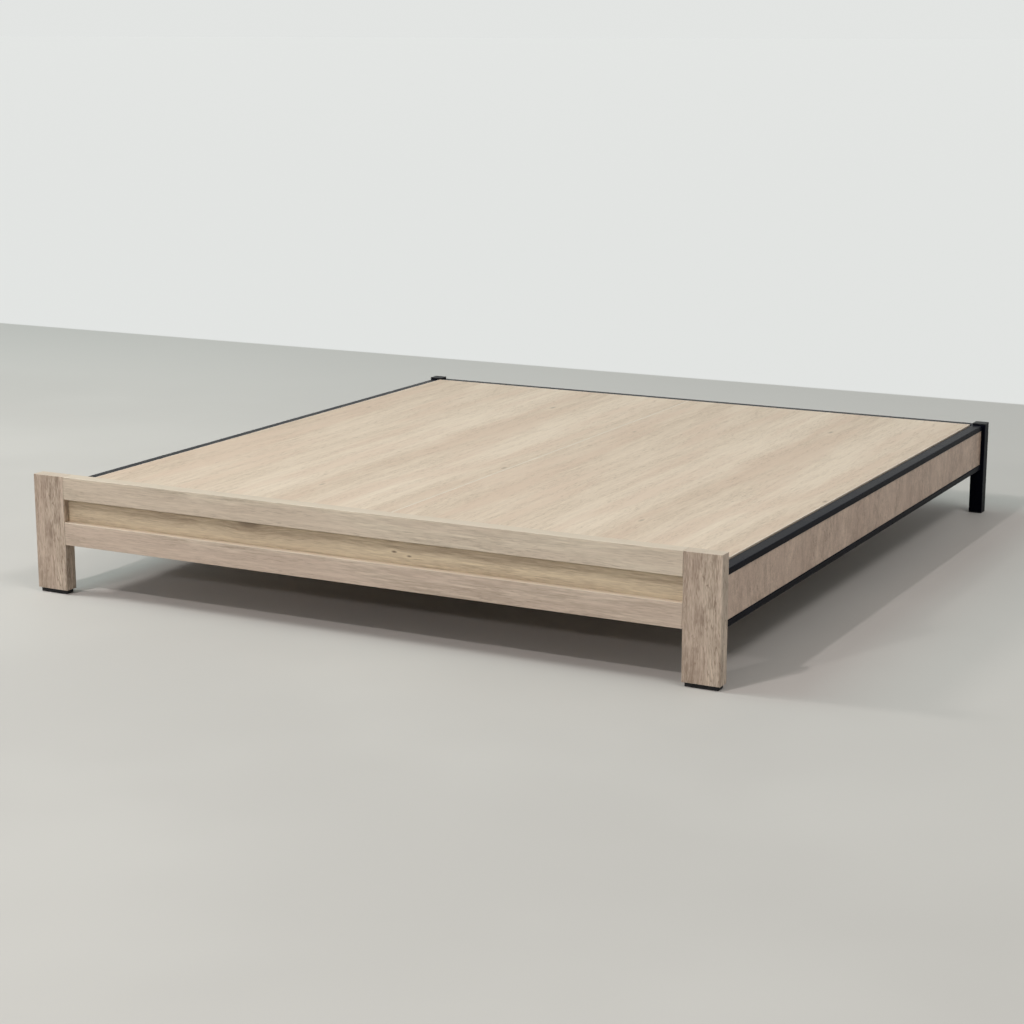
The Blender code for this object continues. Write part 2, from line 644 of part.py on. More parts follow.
def levelling_foot(label, y, finish, parent):
    """A round pad on a threaded stem, with its origin on its axis at the floor."""
    neck = LEVELLER_PAD_RADIUS / 2
    rim = LEVELLER_PAD_HEIGHT / 4
    profile = [
        (0, 0),
        (LEVELLER_PAD_RADIUS - rim, 0),
        (LEVELLER_PAD_RADIUS, rim),
        (LEVELLER_PAD_RADIUS, 2 * rim),
        (neck, LEVELLER_PAD_HEIGHT),
        (STEM_RADIUS, LEVELLER_PAD_HEIGHT),
        (STEM_RADIUS, LEVELLER_STEM_REACH),
        (0, LEVELLER_STEM_REACH),
    ]
    name = f"levelling_foot_{label}"
    shade_round(place(name, turned_mesh(name, profile), finish, parent, (0, y, 0)))


def centre_support(steel, plastic, zinc):
    parent = group("centre_support", (0, 0, BEAM_UNDERSIDE))
    front = FRONT_BRACKET_Y + BRACKET_STEEL + BEAM_END_CLEARANCE
    rear = REAR_BRACKET_Y - BRACKET_STEEL - BEAM_END_CLEARANCE
    data = tube_mesh("centre_beam", BEAM_WIDTH, BEAM_HEIGHT, rear - front, BEAM_WALL, RAIL_CORNER)
    centre = (0, (front + rear) / 2, BEAM_UNDERSIDE + BEAM_HEIGHT / 2)
    shade_round(place("centre_beam", data, steel, parent, centre, (math.pi / 2, 0, 0)))
    bracket = beam_bracket("beam_bracket_front", FRONT_BRACKET_Y, 1, steel, parent)
    for side in (LEFT, RIGHT):
        centre = (side * SCREW_X, FRONT_BRACKET_Y, SCREW_Z)
        cut_round(bracket, centre, (0, 1, 0), SCREW_RADIUS + CONTACT_GAP, 4 * BRACKET_STEEL)
    beam_bracket("beam_bracket_rear", REAR_BRACKET_Y, -1, steel, parent)
    for label, y in zip(("front", "rear"), LEG_OFFSETS):
        centre_leg(label, y, steel, plastic, zinc, parent)


# Platform boards: loose, so each can be lifted straight out

def platform_boards(wood):
    front = FOOT_BACK_Y + BOARD_FRONT_CLEARANCE
    rear = REAR_RAIL_FRONT_Y - BOARD_REAR_CLEARANCE
    for label, side in SIDES:
        x_low, x_high = mirror_span(side, BOARD_SEAM / 2, RAIL_INNER_X - BOARD_SIDE_CLEARANCE)
        low = (x_low, front, BOARD_UNDERSIDE)
        board = box_between(f"platform_board_{label}", low, (x_high, rear, BOARD_TOP), wood, None)
        bevel_edges(board, BOARD_EDGE_BEVEL)


# Bolts and inserts

def bolt_mesh(name, length):
    """A button-head bolt along +Z: the underside of its head is at 0 and its shank runs to -length."""
    socket_floor = BOLT_HEAD_HEIGHT - BOLT_SOCKET_DEPTH
    profile = [
        (0, -length),
        (BOLT_RADIUS, -length),
        (BOLT_RADIUS, 0),
        (BOLT_HEAD_RADIUS, 0),
        (BOLT_HEAD_RADIUS, 0.3 * BOLT_HEAD_HEIGHT),
        (0.82 * BOLT_HEAD_RADIUS, 0.8 * BOLT_HEAD_HEIGHT),
        (0.55 * BOLT_HEAD_RADIUS, BOLT_HEAD_HEIGHT),
        (BOLT_SOCKET_RADIUS, BOLT_HEAD_HEIGHT),
        (BOLT_SOCKET_RADIUS, socket_floor),
        (0, socket_floor),
    ]
    return turned_mesh(name, profile, BOLT_SEGMENTS)


def screw_mesh(name):
    """A pan-head wood screw along +Z, with the underside of its head at 0."""
    profile = [
        (0, -SCREW_LENGTH),
        (SCREW_RADIUS, 2 * SCREW_RADIUS - SCREW_LENGTH),
        (SCREW_RADIUS, 0),
        (SCREW_HEAD_RADIUS, 0),
        (SCREW_HEAD_RADIUS, 0.5 * SCREW_HEAD_HEIGHT),
        (0.6 * SCREW_HEAD_RADIUS, SCREW_HEAD_HEIGHT),
        (0, SCREW_HEAD_HEIGHT),
    ]
    return turned_mesh(name, profile, SCREW_SEGMENTS)


def fasteners(zinc):
    parent = group("fasteners")
    bore = BOLT_RADIUS + CONTACT_GAP
    sleeve = [(bore, 0), (INSERT_RADIUS, 0), (INSERT_RADIUS, INSERT_LENGTH), (bore, INSERT_LENGTH)]
    towards_head = (-math.pi / 2, 0, 0)
    for label, side in SIDES:
        for index, height in enumerate(BOLT_HEIGHTS, start=1):
            name = f"front_bolt_{label}_{index}"
            seat = (side * FRONT_BOLT_X, PLATE_BACK_Y + CONTACT_GAP, height)
            shade_round(place(name, bolt_mesh(name, FRONT_BOLT_LENGTH), zinc, parent, seat, towards_head))
            name = f"threaded_insert_{label}_{index}"
            mouth = (side * FRONT_BOLT_X, FOOT_BACK_Y, height)
            shade_round(place(name, turned_mesh(name, sleeve), zinc, parent, mouth, (math.pi / 2, 0, 0)))
            name = f"rear_bolt_{label}_{index}"
            seat = (side * (REAR_PLATE_INNER_X - CONTACT_GAP), REAR_BOLT_Y, height)
            inwards = (0, -side * math.pi / 2, 0)
            shade_round(place(name, bolt_mesh(name, REAR_BOLT_LENGTH), zinc, parent, seat, inwards))
        name = f"bracket_screw_{label}"
        seat = (side * SCREW_X, FRONT_BRACKET_Y + BRACKET_STEEL + CONTACT_GAP, SCREW_Z)
        shade_round(place(name, screw_mesh(name), zinc, parent, seat, towards_head))


def build_bed():
    clear_scene()
    frame_oak = material("foot_end_oak", (0.50, 0.41, 0.31), 0.55)
    panel_oak = material("foot_panel_oak", (0.47, 0.39, 0.27), 0.55)
    side_oak = material("side_panel_oak", (0.36, 0.29, 0.23), 0.55)
    board_oak = material("platform_oak", (0.63, 0.52, 0.40), 0.50)
    black_steel = material("black_steel", (0.012, 0.012, 0.016), 0.38)
    black_plastic = material("black_plastic", (0.02, 0.02, 0.02), 0.55)
    zinc = material("zinc_steel", (0.55, 0.55, 0.56), 0.35, 1.0)
    foot_end(frame_oak, panel_oak, black_plastic)
    side_frames(black_steel, side_oak, black_plastic)
    rear_frame(black_steel)
    cross_bars(black_steel)
    centre_support(black_steel, black_plastic, zinc)
    platform_boards(board_oak)
    fasteners(zinc)


build_bed()
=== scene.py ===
# %% [markdown]
# # A platform bed in oak and black steel
#
# The bed is low and wide: a foot end of oak-finish boards, two black steel side frames with
# oak-finish panels between their rails, a steel rear frame, and two loose boards on top.
# The engineering model already holds every solid at its true place. This lesson leaves all
# places alone and gives each solid the surface, the rounded edges and the small repeated
# details that the real one has.

# %% Load the frame
import json
import math

import bmesh
import bpy
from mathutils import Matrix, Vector

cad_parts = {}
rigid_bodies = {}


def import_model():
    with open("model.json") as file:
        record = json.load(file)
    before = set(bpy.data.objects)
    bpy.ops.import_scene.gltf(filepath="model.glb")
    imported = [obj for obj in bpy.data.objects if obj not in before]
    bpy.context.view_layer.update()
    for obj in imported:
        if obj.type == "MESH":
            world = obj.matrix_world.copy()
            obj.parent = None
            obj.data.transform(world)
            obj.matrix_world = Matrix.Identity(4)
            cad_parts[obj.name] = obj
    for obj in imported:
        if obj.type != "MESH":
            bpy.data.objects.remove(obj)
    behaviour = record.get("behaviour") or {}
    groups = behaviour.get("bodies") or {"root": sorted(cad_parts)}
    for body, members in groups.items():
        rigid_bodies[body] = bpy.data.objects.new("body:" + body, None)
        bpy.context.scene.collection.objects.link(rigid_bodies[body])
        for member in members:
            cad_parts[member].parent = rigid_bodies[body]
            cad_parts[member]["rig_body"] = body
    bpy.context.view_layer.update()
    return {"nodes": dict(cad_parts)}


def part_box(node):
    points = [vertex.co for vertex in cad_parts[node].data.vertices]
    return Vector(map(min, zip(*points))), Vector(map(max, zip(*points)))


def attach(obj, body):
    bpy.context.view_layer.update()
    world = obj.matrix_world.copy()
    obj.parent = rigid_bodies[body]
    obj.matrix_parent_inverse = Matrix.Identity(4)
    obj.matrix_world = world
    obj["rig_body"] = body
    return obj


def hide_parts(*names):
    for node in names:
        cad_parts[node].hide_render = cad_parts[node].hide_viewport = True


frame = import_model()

# %% [markdown]
# ## Places
#
# No place is written twice. Each is read from the box of a CAD node, so a piece that moves or
# grows in the engineering model takes its details along. Only small sizes, such as those of a
# bolt's head, are given again where they are used.

# %% Boxes and bodies
SIDES = ("left", "right")
MILLIMETRE = 0.001


def body_of(node):
    """The name of the body that a CAD node rides on."""
    return frame["nodes"][node]["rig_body"]


def nodes_like(*starts):
    """CAD nodes whose names start with one of these words."""
    return sorted(name for name in frame["nodes"] if name.startswith(starts))


board_low, board_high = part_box("platform_board_left")
print("board size:", [round(side, 4) for side in board_high - board_low])

# %% [markdown]
# ## Camera
#
# The bed is seen from the right of its foot end and from a little above, through a long lens.
# The camera is turned and tipped, and its lens isn't shifted, so that it can be moved round
# the bed without the bed leaving the view.

# %% The camera
CAMERA_PLACE = (2.611, -5.167, 1.388)
CAMERA_TURN = 27.77  # degrees to the left of straight ahead
CAMERA_TIP = 12.55  # degrees below the horizon
LENS = 77.1  # millimetres, on a 36 mm sensor

camera = bpy.data.objects.new("camera", bpy.data.cameras.new("camera"))
camera.data.lens = LENS
camera.data.sensor_width = 36.0
camera.location = CAMERA_PLACE
camera.rotation_euler = (math.radians(90 - CAMERA_TIP), 0, math.radians(CAMERA_TURN))
bpy.context.scene.collection.objects.link(camera)
bpy.context.scene.camera = camera
bpy.context.scene.view_settings.view_transform = "Standard"
print("camera at", CAMERA_PLACE, "with a lens of", LENS, "mm")

# %% [markdown]
# ## Writing node trees as sums
#
# A finish is a tree of shader nodes, and a repeated detail is a tree of geometry nodes. Linked
# by hand, both soon fill pages. Here one small class stands for a node's output. Adding or
# multiplying two of them adds a Math node, so a formula reads like a formula. Every other node
# comes from one method that takes its type, its settings and what goes into it.

# %% Wires and recipes
class Wire:
    """One output of a node. Arithmetic with it adds Math nodes to the same tree."""

    def __init__(self, recipe, socket):
        self.recipe = recipe
        self.socket = socket

    def other(self, name):
        """Another output of the same node."""
        return Wire(self.recipe, self.socket.node.outputs[name])

    def maths(self, operation, *values):
        """The result of one kind of Math node on these values."""
        return self.recipe.add("ShaderNodeMath", {"operation": operation}, dict(enumerate(values)))

    def __add__(self, value):
        return self.maths("ADD", self, value)

    def __radd__(self, value):
        return self.maths("ADD", value, self)

    def __sub__(self, value):
        return self.maths("SUBTRACT", self, value)

    def __rsub__(self, value):
        return self.maths("SUBTRACT", value, self)

    def __mul__(self, value):
        return self.maths("MULTIPLY", self, value)

    def __rmul__(self, value):
        return self.maths("MULTIPLY", value, self)

    def __truediv__(self, value):
        return self.maths("DIVIDE", self, value)

    def __rtruediv__(self, value):
        return self.maths("DIVIDE", value, self)

    def ramp(self, start, end):
        """0 below start, 1 above end and smooth between. The two may be in either order."""
        settings = {"interpolation_type": "SMOOTHSTEP"}
        return self.recipe.add("ShaderNodeMapRange", settings, {0: self, 1: start, 2: end, 3: 0.0, 4: 1.0})


class Recipe:
    """A node tree that is being written."""

    def __init__(self, tree):
        self.tree = tree

    def add(self, kind, settings=None, inputs=None, output=0):
        """A new node: first its settings, then the values or wires of its inputs."""
        node = self.tree.nodes.new(kind)
        for name, value in (settings or {}).items():
            if name == "stops":
                self.set_stops(node.color_ramp, value)
            else:
                setattr(node, name, value)
        for key, value in (inputs or {}).items():
            self.feed(node.inputs[key], value)
        return Wire(self, node.outputs[output]) if node.outputs else None

    def feed(self, socket, value):
        """Gives an input a wire, several wires, a colour or a plain value."""
        if isinstance(value, Wire):
            self.tree.links.new(value.socket, socket)
        elif isinstance(value, list):
            for wire in value:
                self.tree.links.new(wire.socket, socket)
        elif socket.type == "RGBA" and len(value) == 3:
            socket.default_value = (*value, 1.0)
        else:
            socket.default_value = value

    def set_stops(self, ramp, stops):
        """A grey ramp through (place, value) pairs."""
        while len(ramp.elements) < len(stops):
            ramp.elements.new(1.0)
        for element, (place, value) in zip(ramp.elements, stops):
            element.position = place
            element.color = (value, value, value, 1.0)
        ramp.interpolation = "B_SPLINE"

    def mix(self, factor, first, second):
        """From the first colour to the second as the factor goes from 0 to 1."""
        return self.add("ShaderNodeMix", {"data_type": "RGBA"}, {0: factor, 6: first, 7: second}, output=2)

    def vector(self, operation, *values):
        """The result of one kind of Vector Math node on these values."""
        return self.add("ShaderNodeVectorMath", {"operation": operation}, dict(enumerate(values)))

    def joined(self, x, y, z):
        """One vector from three numbers."""
        return self.add("ShaderNodeCombineXYZ", None, {0: x, 1: y, 2: z})

    def split(self, vector):
        """The three numbers of a vector."""
        parts = self.add("ShaderNodeSeparateXYZ", None, {0: vector})
        return [parts.other(axis) for axis in "XYZ"]


print("node writing is ready")

# %% [markdown]
# ## Measuring on a surface
#
# Every pattern starts from Object coordinates, which are metres on the bed itself, so that a
# pore is as long on a post as on a board. Two measures serve all the finishes: noise with a
# number of patches per metre in each direction, and the distance to the nearest edge of the
# piece's box. On any face of a box, one of the three distances to its sides is nought, so the
# middle one of the three is the distance to the nearest edge.

# %% Patterns in metres
def new_finish(name):
    """A material with an empty tree, and the recipe that fills it."""
    material = bpy.data.materials.new(name)
    material.use_nodes = True
    material.node_tree.nodes.clear()
    return material, Recipe(material.node_tree)


def place_on(recipe, origin=(0, 0, 0)):
    """The place on the piece, from this point of it."""
    place = recipe.add("ShaderNodeTexCoord").other("Object")
    return recipe.vector("SUBTRACT", place, tuple(origin))


def noise(recipe, place, per_metre, detail=2.0, roughness=0.5, shift=0.0):
    """Noise about 0.5 with this many patches per metre along each axis."""
    scaled = recipe.vector("MULTIPLY_ADD", place, tuple(per_metre), (shift, shift, shift))
    sizes = {"Vector": scaled, "Scale": 1.0, "Detail": detail, "Roughness": roughness}
    return recipe.add("ShaderNodeTexNoise", None, sizes)


def edge_distance(recipe, node):
    """Metres from a point of a surface to the nearest edge of the node's box."""
    low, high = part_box(node)
    from_low = recipe.split(place_on(recipe, low))
    spans = high - low
    gaps = [part.maths("MINIMUM", part, span - part) for part, span in zip(from_low, spans)]
    nearest = gaps[0].maths("MINIMUM", gaps[0], gaps[1].maths("MINIMUM", gaps[1], gaps[2]))
    farthest = gaps[0].maths("MAXIMUM", gaps[0], gaps[1].maths("MAXIMUM", gaps[1], gaps[2]))
    return gaps[0] + gaps[1] + gaps[2] - nearest - farthest


def bumped(recipe, height, distance):
    """The normal of a surface with this height, from 0 to 1, over a depth in metres."""
    return recipe.add("ShaderNodeBump", None, {"Height": height, "Distance": distance, "Strength": 1.0})


def close(recipe, **sockets):
    """The last nodes of a finish: the shader with these sockets, and the output."""
    named = {name.replace("_", " "): value for name, value in sockets.items()}
    shader = recipe.add("ShaderNodeBsdfPrincipled", None, named)
    recipe.add("ShaderNodeOutputMaterial", None, {"Surface": shader})


print("patterns are measured in metres")

# %% [markdown]
# ## Oak decor
#
# The boards of such a bed are covered with a printed oak decor under a satin lacquer. The
# print shows what a sawn oak board shows. Broad light and pinkish-brown bands are heartwood
# and sapwood. Fine streaks are growth rings. Short dark dashes are pores that the saw laid
# open, and they are also pressed in, so they catch the light. Near a knot the rings part and
# flow round a dark eye. All of it is stretched far along the grain.
#
# One recipe makes every oak surface. What differs between a board, a rail and a post is the
# way the grain runs, its three colours, and how much each of those layers shows.

# %% The oak recipe
BOARD_WIDTH = board_high.x - board_low.x
GRAIN_ORDER = {"X": (0, 2, 1), "Y": (1, 0, 2), "Z": (2, 0, 1)}
PORE_COLOUR = (0.20, 0.145, 0.105)
KNOT_COLOUR = (0.13, 0.085, 0.055)
# Painted light: faces that point up are made paler, as if lit more strongly.
TOP_LIGHT_PAINT = (0.67, 0.555, 0.435)
# Painted highlight: the pale line along the edges of each oak piece, where a rounded edge catches light.
EDGE_HIGHLIGHT_PAINT = (0.80, 0.72, 0.61)


def grain_place(recipe, node, along):
    """The place on a piece as metres along, across and through its grain."""
    parts = recipe.split(place_on(recipe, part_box(node)[0]))
    return recipe.joined(*(parts[index] for index in GRAIN_ORDER[along]))


def wandering(recipe, place, amount):
    """Bends the grain slowly from side to side, and a little within each hand's breadth."""
    slow = noise(recipe, place, (1.1, 2.4, 2.4), detail=1.0, shift=3.1) - 0.5
    quick = noise(recipe, place, (8.0, 26.0, 26.0), detail=1.0, shift=7.7) - 0.5
    sideways = slow * amount + quick * (0.12 * amount)
    return recipe.vector("ADD", place, recipe.joined(0.0, sideways, sideways))


def round_knot(recipe, place, knot):
    """Parts the grain round one knot, and says how dark it is: most in its eye and 0 far off."""
    along, across, radius, strength = knot
    x, y, z = recipe.split(place)
    off_along = (x - along) / (2.6 * radius)
    off_across = (y - across) / radius
    squares = off_along * off_along + off_across * off_across
    far = squares.maths("SQRT", squares)
    near = far.ramp(2.4, 0.2)
    parted = y - (y - across) * near * 0.75
    return recipe.joined(x, parted, z), far.ramp(1.0, 0.1) * strength


def spread(pattern, width=0.14):
    """Stretches noise, which keeps close to 0.5, so that it fills the range from 0 to 1."""
    return pattern.ramp(0.5 - width, 0.5 + width)


def oak(name, node, along, colours, layers, knots=()):
    """An oak decor for one piece. Layers say how much of each pattern shows."""
    material, recipe = new_finish(name)
    light, dark, flush = colours
    place = wandering(recipe, grain_place(recipe, node, along), layers["wander"])
    eyes = 0.0
    for knot in knots:
        place, eye = round_knot(recipe, place, knot)
        eyes = eye + eyes
    bands = spread(noise(recipe, place, (0.45, 7.5, 7.5), detail=2.0, shift=layers["shift"]))
    if "print" in layers:
        printed = recipe.split(place)[1] / layers.get("print_width", BOARD_WIDTH)
        bands = recipe.add("ShaderNodeValToRGB", {"stops": layers["print"]}, {0: printed})
    length = layers["length"]
    rings = spread(noise(recipe, place, (3.2 / length, 42, 42), detail=4.0, roughness=0.65, shift=1.3))
    streaks = spread(noise(recipe, place, (11 / length, 150, 150), detail=3.0, roughness=0.7, shift=5.9))
    fibres = spread(noise(recipe, place, (40 / length, 420, 420), detail=2.0, shift=2.2))
    threads = noise(recipe, place, (9 / length, 95, 95), detail=2.0, shift=17.0) - 0.5
    lines = threads.maths("ABSOLUTE", threads).ramp(0.032, 0.0) * layers["lines"]
    dashes = noise(recipe, place, (38.0, 620.0, 620.0), detail=1.0, shift=9.4)
    pores = dashes.ramp(0.56, 0.66) * rings.ramp(0.8, 0.2)
    tone = 0.5 + (bands - 0.5) * layers["bands"] + (rings - 0.5) * layers["rings"]
    tone = tone + (streaks - 0.5) * (1.4 - bands * 0.8) * layers["streaks"]
    tone = tone + (fibres - 0.5) * layers["fibres"] - lines
    colour = recipe.mix(tone.maths("MINIMUM", 1.0, tone.maths("MAXIMUM", tone, 0.0)), dark, light)
    patches = noise(recipe, place, (1.6 / length, 16, 16), detail=3.0, shift=12.5)
    colour = recipe.mix(patches.ramp(0.44, 0.62) * layers["flush"], colour, flush)
    colour = recipe.mix(pores * layers["pores"], colour, PORE_COLOUR)
    if knots:
        colour = recipe.mix(eyes, colour, KNOT_COLOUR)
    # Painted light: faces that point up are mixed towards a paler colour.
    upward = recipe.split(recipe.add("ShaderNodeNewGeometry").other("True Normal"))[2]
    colour = recipe.mix(upward.ramp(0.6, 0.9) * layers["top"], colour, TOP_LIGHT_PAINT)
    # Painted highlight along the edges of the piece's box, where the rounded edges catch light.
    edge = edge_distance(recipe, node).ramp(layers["edge_width"], 0.0)
    colour = recipe.mix(edge * layers["edge"], colour, EDGE_HIGHLIGHT_PAINT)
    height = 0.6 + fibres * 0.25 - pores * 0.6
    close(
        recipe,
        Base_Color=colour,
        Roughness=0.47 + (streaks - 0.5) * 0.08 + pores * 0.12 - edge * 0.05,
        Normal=bumped(recipe, height, 0.12 * MILLIMETRE),
        IOR=1.45,
    )
    return material


print("oak grain runs along", ", ".join(GRAIN_ORDER))

# %% [markdown]
# The two boards on top carry the same print, cut at the same place, so a ramp across the
# board's width gives both the same bands. Only the outer edge of the left board is darker. The
# foot end is greyer, its panel more olive, and the side panels are a taupe with the grain
# standing upright.
#
# Each set of colours is the light wood, the dark wood and a flush that comes in patches. Each
# print is a ramp of places across a board, from 0 to 1, with how light the wood is there. Each
# knot is its place along and across the grain, its radius in metres and how dark it is. The
# room is dim near the floor, which darkens the upright faces of the foot end, so the colours
# there are made a little brighter.


# %% Oak colours and layers
def brighter(factor, *colours):
    """These colours, each brighter by this factor."""
    return [tuple(part * factor for part in colour) for colour in colours]


BOARD_PRINT = (
    (0.00, 0.35), (0.07, 0.50), (0.12, 0.00), (0.20, 0.55), (0.33, 0.42), (0.42, 0.45), (0.51, 1.00),
    (0.58, 0.75), (0.64, 0.00), (0.71, 0.30), (0.83, 1.00), (0.92, 0.70), (1.00, 0.10),
)
LEFT_PRINT = ((0.00, 0.00), (0.07, 0.05), (0.12, 0.10)) + BOARD_PRINT[3:]
# The panel's ramp runs from its foot (0) to its top (1). Its dark upper part is partly the print's band and
# partly painted shade under the top rail.
PANEL_PRINT_AND_SHADE = ((0.00, 0.70), (0.35, 0.78), (0.48, 0.60), (0.56, 0.05), (0.70, 0.00), (1.00, 0.00))
BOARD_COLOURS = ((0.83, 0.70, 0.555), (0.555, 0.415, 0.30), (0.66, 0.485, 0.365))
TOP_RAIL_COLOURS = brighter(1.08, (0.69, 0.605, 0.485), (0.45, 0.38, 0.295), (0.58, 0.475, 0.38))
LOW_RAIL_COLOURS = brighter(1.09, (0.64, 0.535, 0.435), (0.40, 0.32, 0.25), (0.54, 0.425, 0.345))
PANEL_COLOURS = brighter(1.03, (0.76, 0.645, 0.46), (0.40, 0.31, 0.215), (0.57, 0.46, 0.335))
POST_COLOURS = brighter(1.08, (0.62, 0.515, 0.415), (0.23, 0.165, 0.12), (0.50, 0.385, 0.31))
SIDE_COLOURS = ((0.665, 0.51, 0.405), (0.365, 0.26, 0.20), (0.50, 0.365, 0.29))

RAIL_LAYERS = {
    "wander": 0.015, "length": 1.3, "bands": 0.3, "rings": 0.3, "streaks": 0.42, "fibres": 0.3,
    "lines": 0.22, "flush": 0.5, "pores": 0.3, "edge": 0.25, "edge_width": 0.0018, "top": 0.7, "shift": 21.0,
}
BOARD_LAYERS = {
    **RAIL_LAYERS, "wander": 0.05, "length": 1.0, "bands": 0.50, "rings": 0.17, "streaks": 0.20,
    "fibres": 0.16, "lines": 0.05, "flush": 0.5, "edge": 0.8, "edge_width": 0.0045, "top": 0.0,
    "print": BOARD_PRINT,
}
POST_LAYERS = {
    **RAIL_LAYERS, "wander": 0.03, "length": 0.6, "bands": 0.2, "rings": 0.35, "streaks": 0.35,
    "lines": 0.38, "flush": 0.3,
}
PANEL_LAYERS = {
    **RAIL_LAYERS, "bands": 0.7, "lines": 0.1, "streaks": 0.25, "flush": 0.3, "print": PANEL_PRINT_AND_SHADE,
}
SIDE_LAYERS = {
    **RAIL_LAYERS, "length": 0.16, "bands": 0.4, "rings": 0.35, "streaks": 0.35, "fibres": 0.35,
    "lines": 0.1, "flush": 0.4, "shift": 15.0,
}
BOARD_KNOTS = (
    (1.62, 0.567, 0.009, 0.45), (0.345, 0.567, 0.008, 0.40),
    (1.37, 0.064, 0.007, 0.35), (0.74, 0.868, 0.007, 0.6),
)
PANEL_KNOTS = ((0.545, 0.060, 0.017, 0.62), (0.945, 0.034, 0.004, 0.9), (0.985, 0.028, 0.0035, 0.8))

print("knots on a board:", len(BOARD_KNOTS), "and on the panel:", len(PANEL_KNOTS))

# %% [markdown]
# ## Steel, plastic and zinc
#
# The frame is tube that was welded and then powder coated. The powder melts into a satin film
# with a fine ripple, as on an orange's peel, and it pulls thin over corners, where it looks a
# little paler. Glides, caps and feet are moulded in black plastic with a spark-eroded grain.
# Bolts, screws, inserts and levelling feet are zinc plated: bright, with faint yellow stains.

# %% Powder coat, plastic and zinc
COAT_DARK = (0.0020, 0.0022, 0.0050)
COAT_PALE = (0.0045, 0.0049, 0.0100)
COAT_EDGE = (0.012, 0.013, 0.023)


def powder_coat(name, node=None):
    """Satin black powder coat, paler along the edges of the node's box if one is given."""
    material, recipe = new_finish(name)
    place = place_on(recipe)
    peel = noise(recipe, place, (620, 620, 620), detail=2.0)
    cloud = noise(recipe, place, (9, 9, 9), detail=3.0, shift=2.0)
    grit = noise(recipe, place, (2600, 2600, 2600), detail=1.0).ramp(0.66, 0.74)
    colour = recipe.mix(cloud.ramp(0.3, 0.7), COAT_DARK, COAT_PALE)
    colour = recipe.mix(grit * 0.35, colour, COAT_EDGE)
    if node:
        worn = edge_distance(recipe, node).ramp(2.6 * MILLIMETRE, 0.0)
        colour = recipe.mix(worn * (0.1 + cloud * 0.4), colour, COAT_EDGE)
    close(
        recipe,
        Base_Color=colour,
        Roughness=0.27 + (cloud - 0.5) * 0.12 + grit * 0.1,
        Normal=bumped(recipe, peel + grit * 0.2, 0.05 * MILLIMETRE),
        IOR=1.075,
        Specular_Tint=(0.90, 0.93, 1.0),
    )
    return material


def moulded_plastic(name):
    """Black plastic with the fine matt grain of its mould."""
    material, recipe = new_finish(name)
    place = place_on(recipe)
    grain = noise(recipe, place, (1500, 1500, 1500), detail=2.0)
    haze = noise(recipe, place, (60, 60, 60), detail=3.0)
    close(
        recipe,
        Base_Color=recipe.mix(haze.ramp(0.35, 0.7), (0.013, 0.013, 0.014), (0.026, 0.026, 0.027)),
        Roughness=0.5 + (haze - 0.5) * 0.2,
        Normal=bumped(recipe, grain, 0.06 * MILLIMETRE),
        IOR=1.3,
    )
    return material


def zinc_plate(name):
    """Bright zinc with a brushed grain and faint yellow stains."""
    material, recipe = new_finish(name)
    place = place_on(recipe)
    brush = noise(recipe, place, (300, 300, 3000), detail=2.0)
    stain = noise(recipe, place, (120, 120, 120), detail=3.0)
    close(
        recipe,
        Base_Color=recipe.mix(stain.ramp(0.45, 0.7), (0.62, 0.63, 0.65), (0.58, 0.54, 0.42)),
        Metallic=1.0,
        Roughness=0.28 + (brush - 0.5) * 0.2 + stain.ramp(0.4, 0.8) * 0.1,
        Normal=bumped(recipe, brush, 0.02 * MILLIMETRE),
    )
    return material


coat = powder_coat("powder_coat")
plastic = moulded_plastic("moulded_plastic")
zinc = zinc_plate("zinc_plate")
print("metal and plastic:", coat.name, plastic.name, zinc.name)

# %% [markdown]
# ## Rounding what the saw and the mould left sharp
#
# The CAD solids are faceted and their corners are sharp or cut with one flat chamfer. A real
# corner is a small round that catches a line of light. A copy of a solid is merged, its flat
# faces are joined up again, and its sharp edges get a narrow bevel of two steps. Weighted
# normals then keep the big faces flat in the light and let only the corner turn.

# %% Rounded copies
MERGE = 0.01 * MILLIMETRE
FLAT = math.radians(0.5)
BEVELLED = math.radians(40)
SHARP = math.radians(50)


def keep(piece, body, slot, *replaced):
    """Puts a finished piece on its body and hides the CAD nodes that it stands for."""
    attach(piece, body)
    if replaced:
        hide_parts(*replaced)
    return piece


def merged_mesh(node):
    """The node's mesh with its loose triangles joined into whole faces."""
    build = bmesh.new()
    build.from_mesh(frame["nodes"][node].data)
    bmesh.ops.remove_doubles(build, verts=build.verts, dist=MERGE)
    bmesh.ops.dissolve_limit(build, angle_limit=FLAT, verts=build.verts, edges=build.edges)
    mesh = bpy.data.meshes.new(node + "_skin")
    build.to_mesh(mesh)
    build.free()
    return mesh


def settled(piece):
    """The piece with its modifiers applied."""
    bpy.context.view_layer.update()
    graph = bpy.context.evaluated_depsgraph_get()
    finished = bpy.data.meshes.new_from_object(piece.evaluated_get(graph), depsgraph=graph)
    piece.modifiers.clear()
    piece.data = finished
    return piece


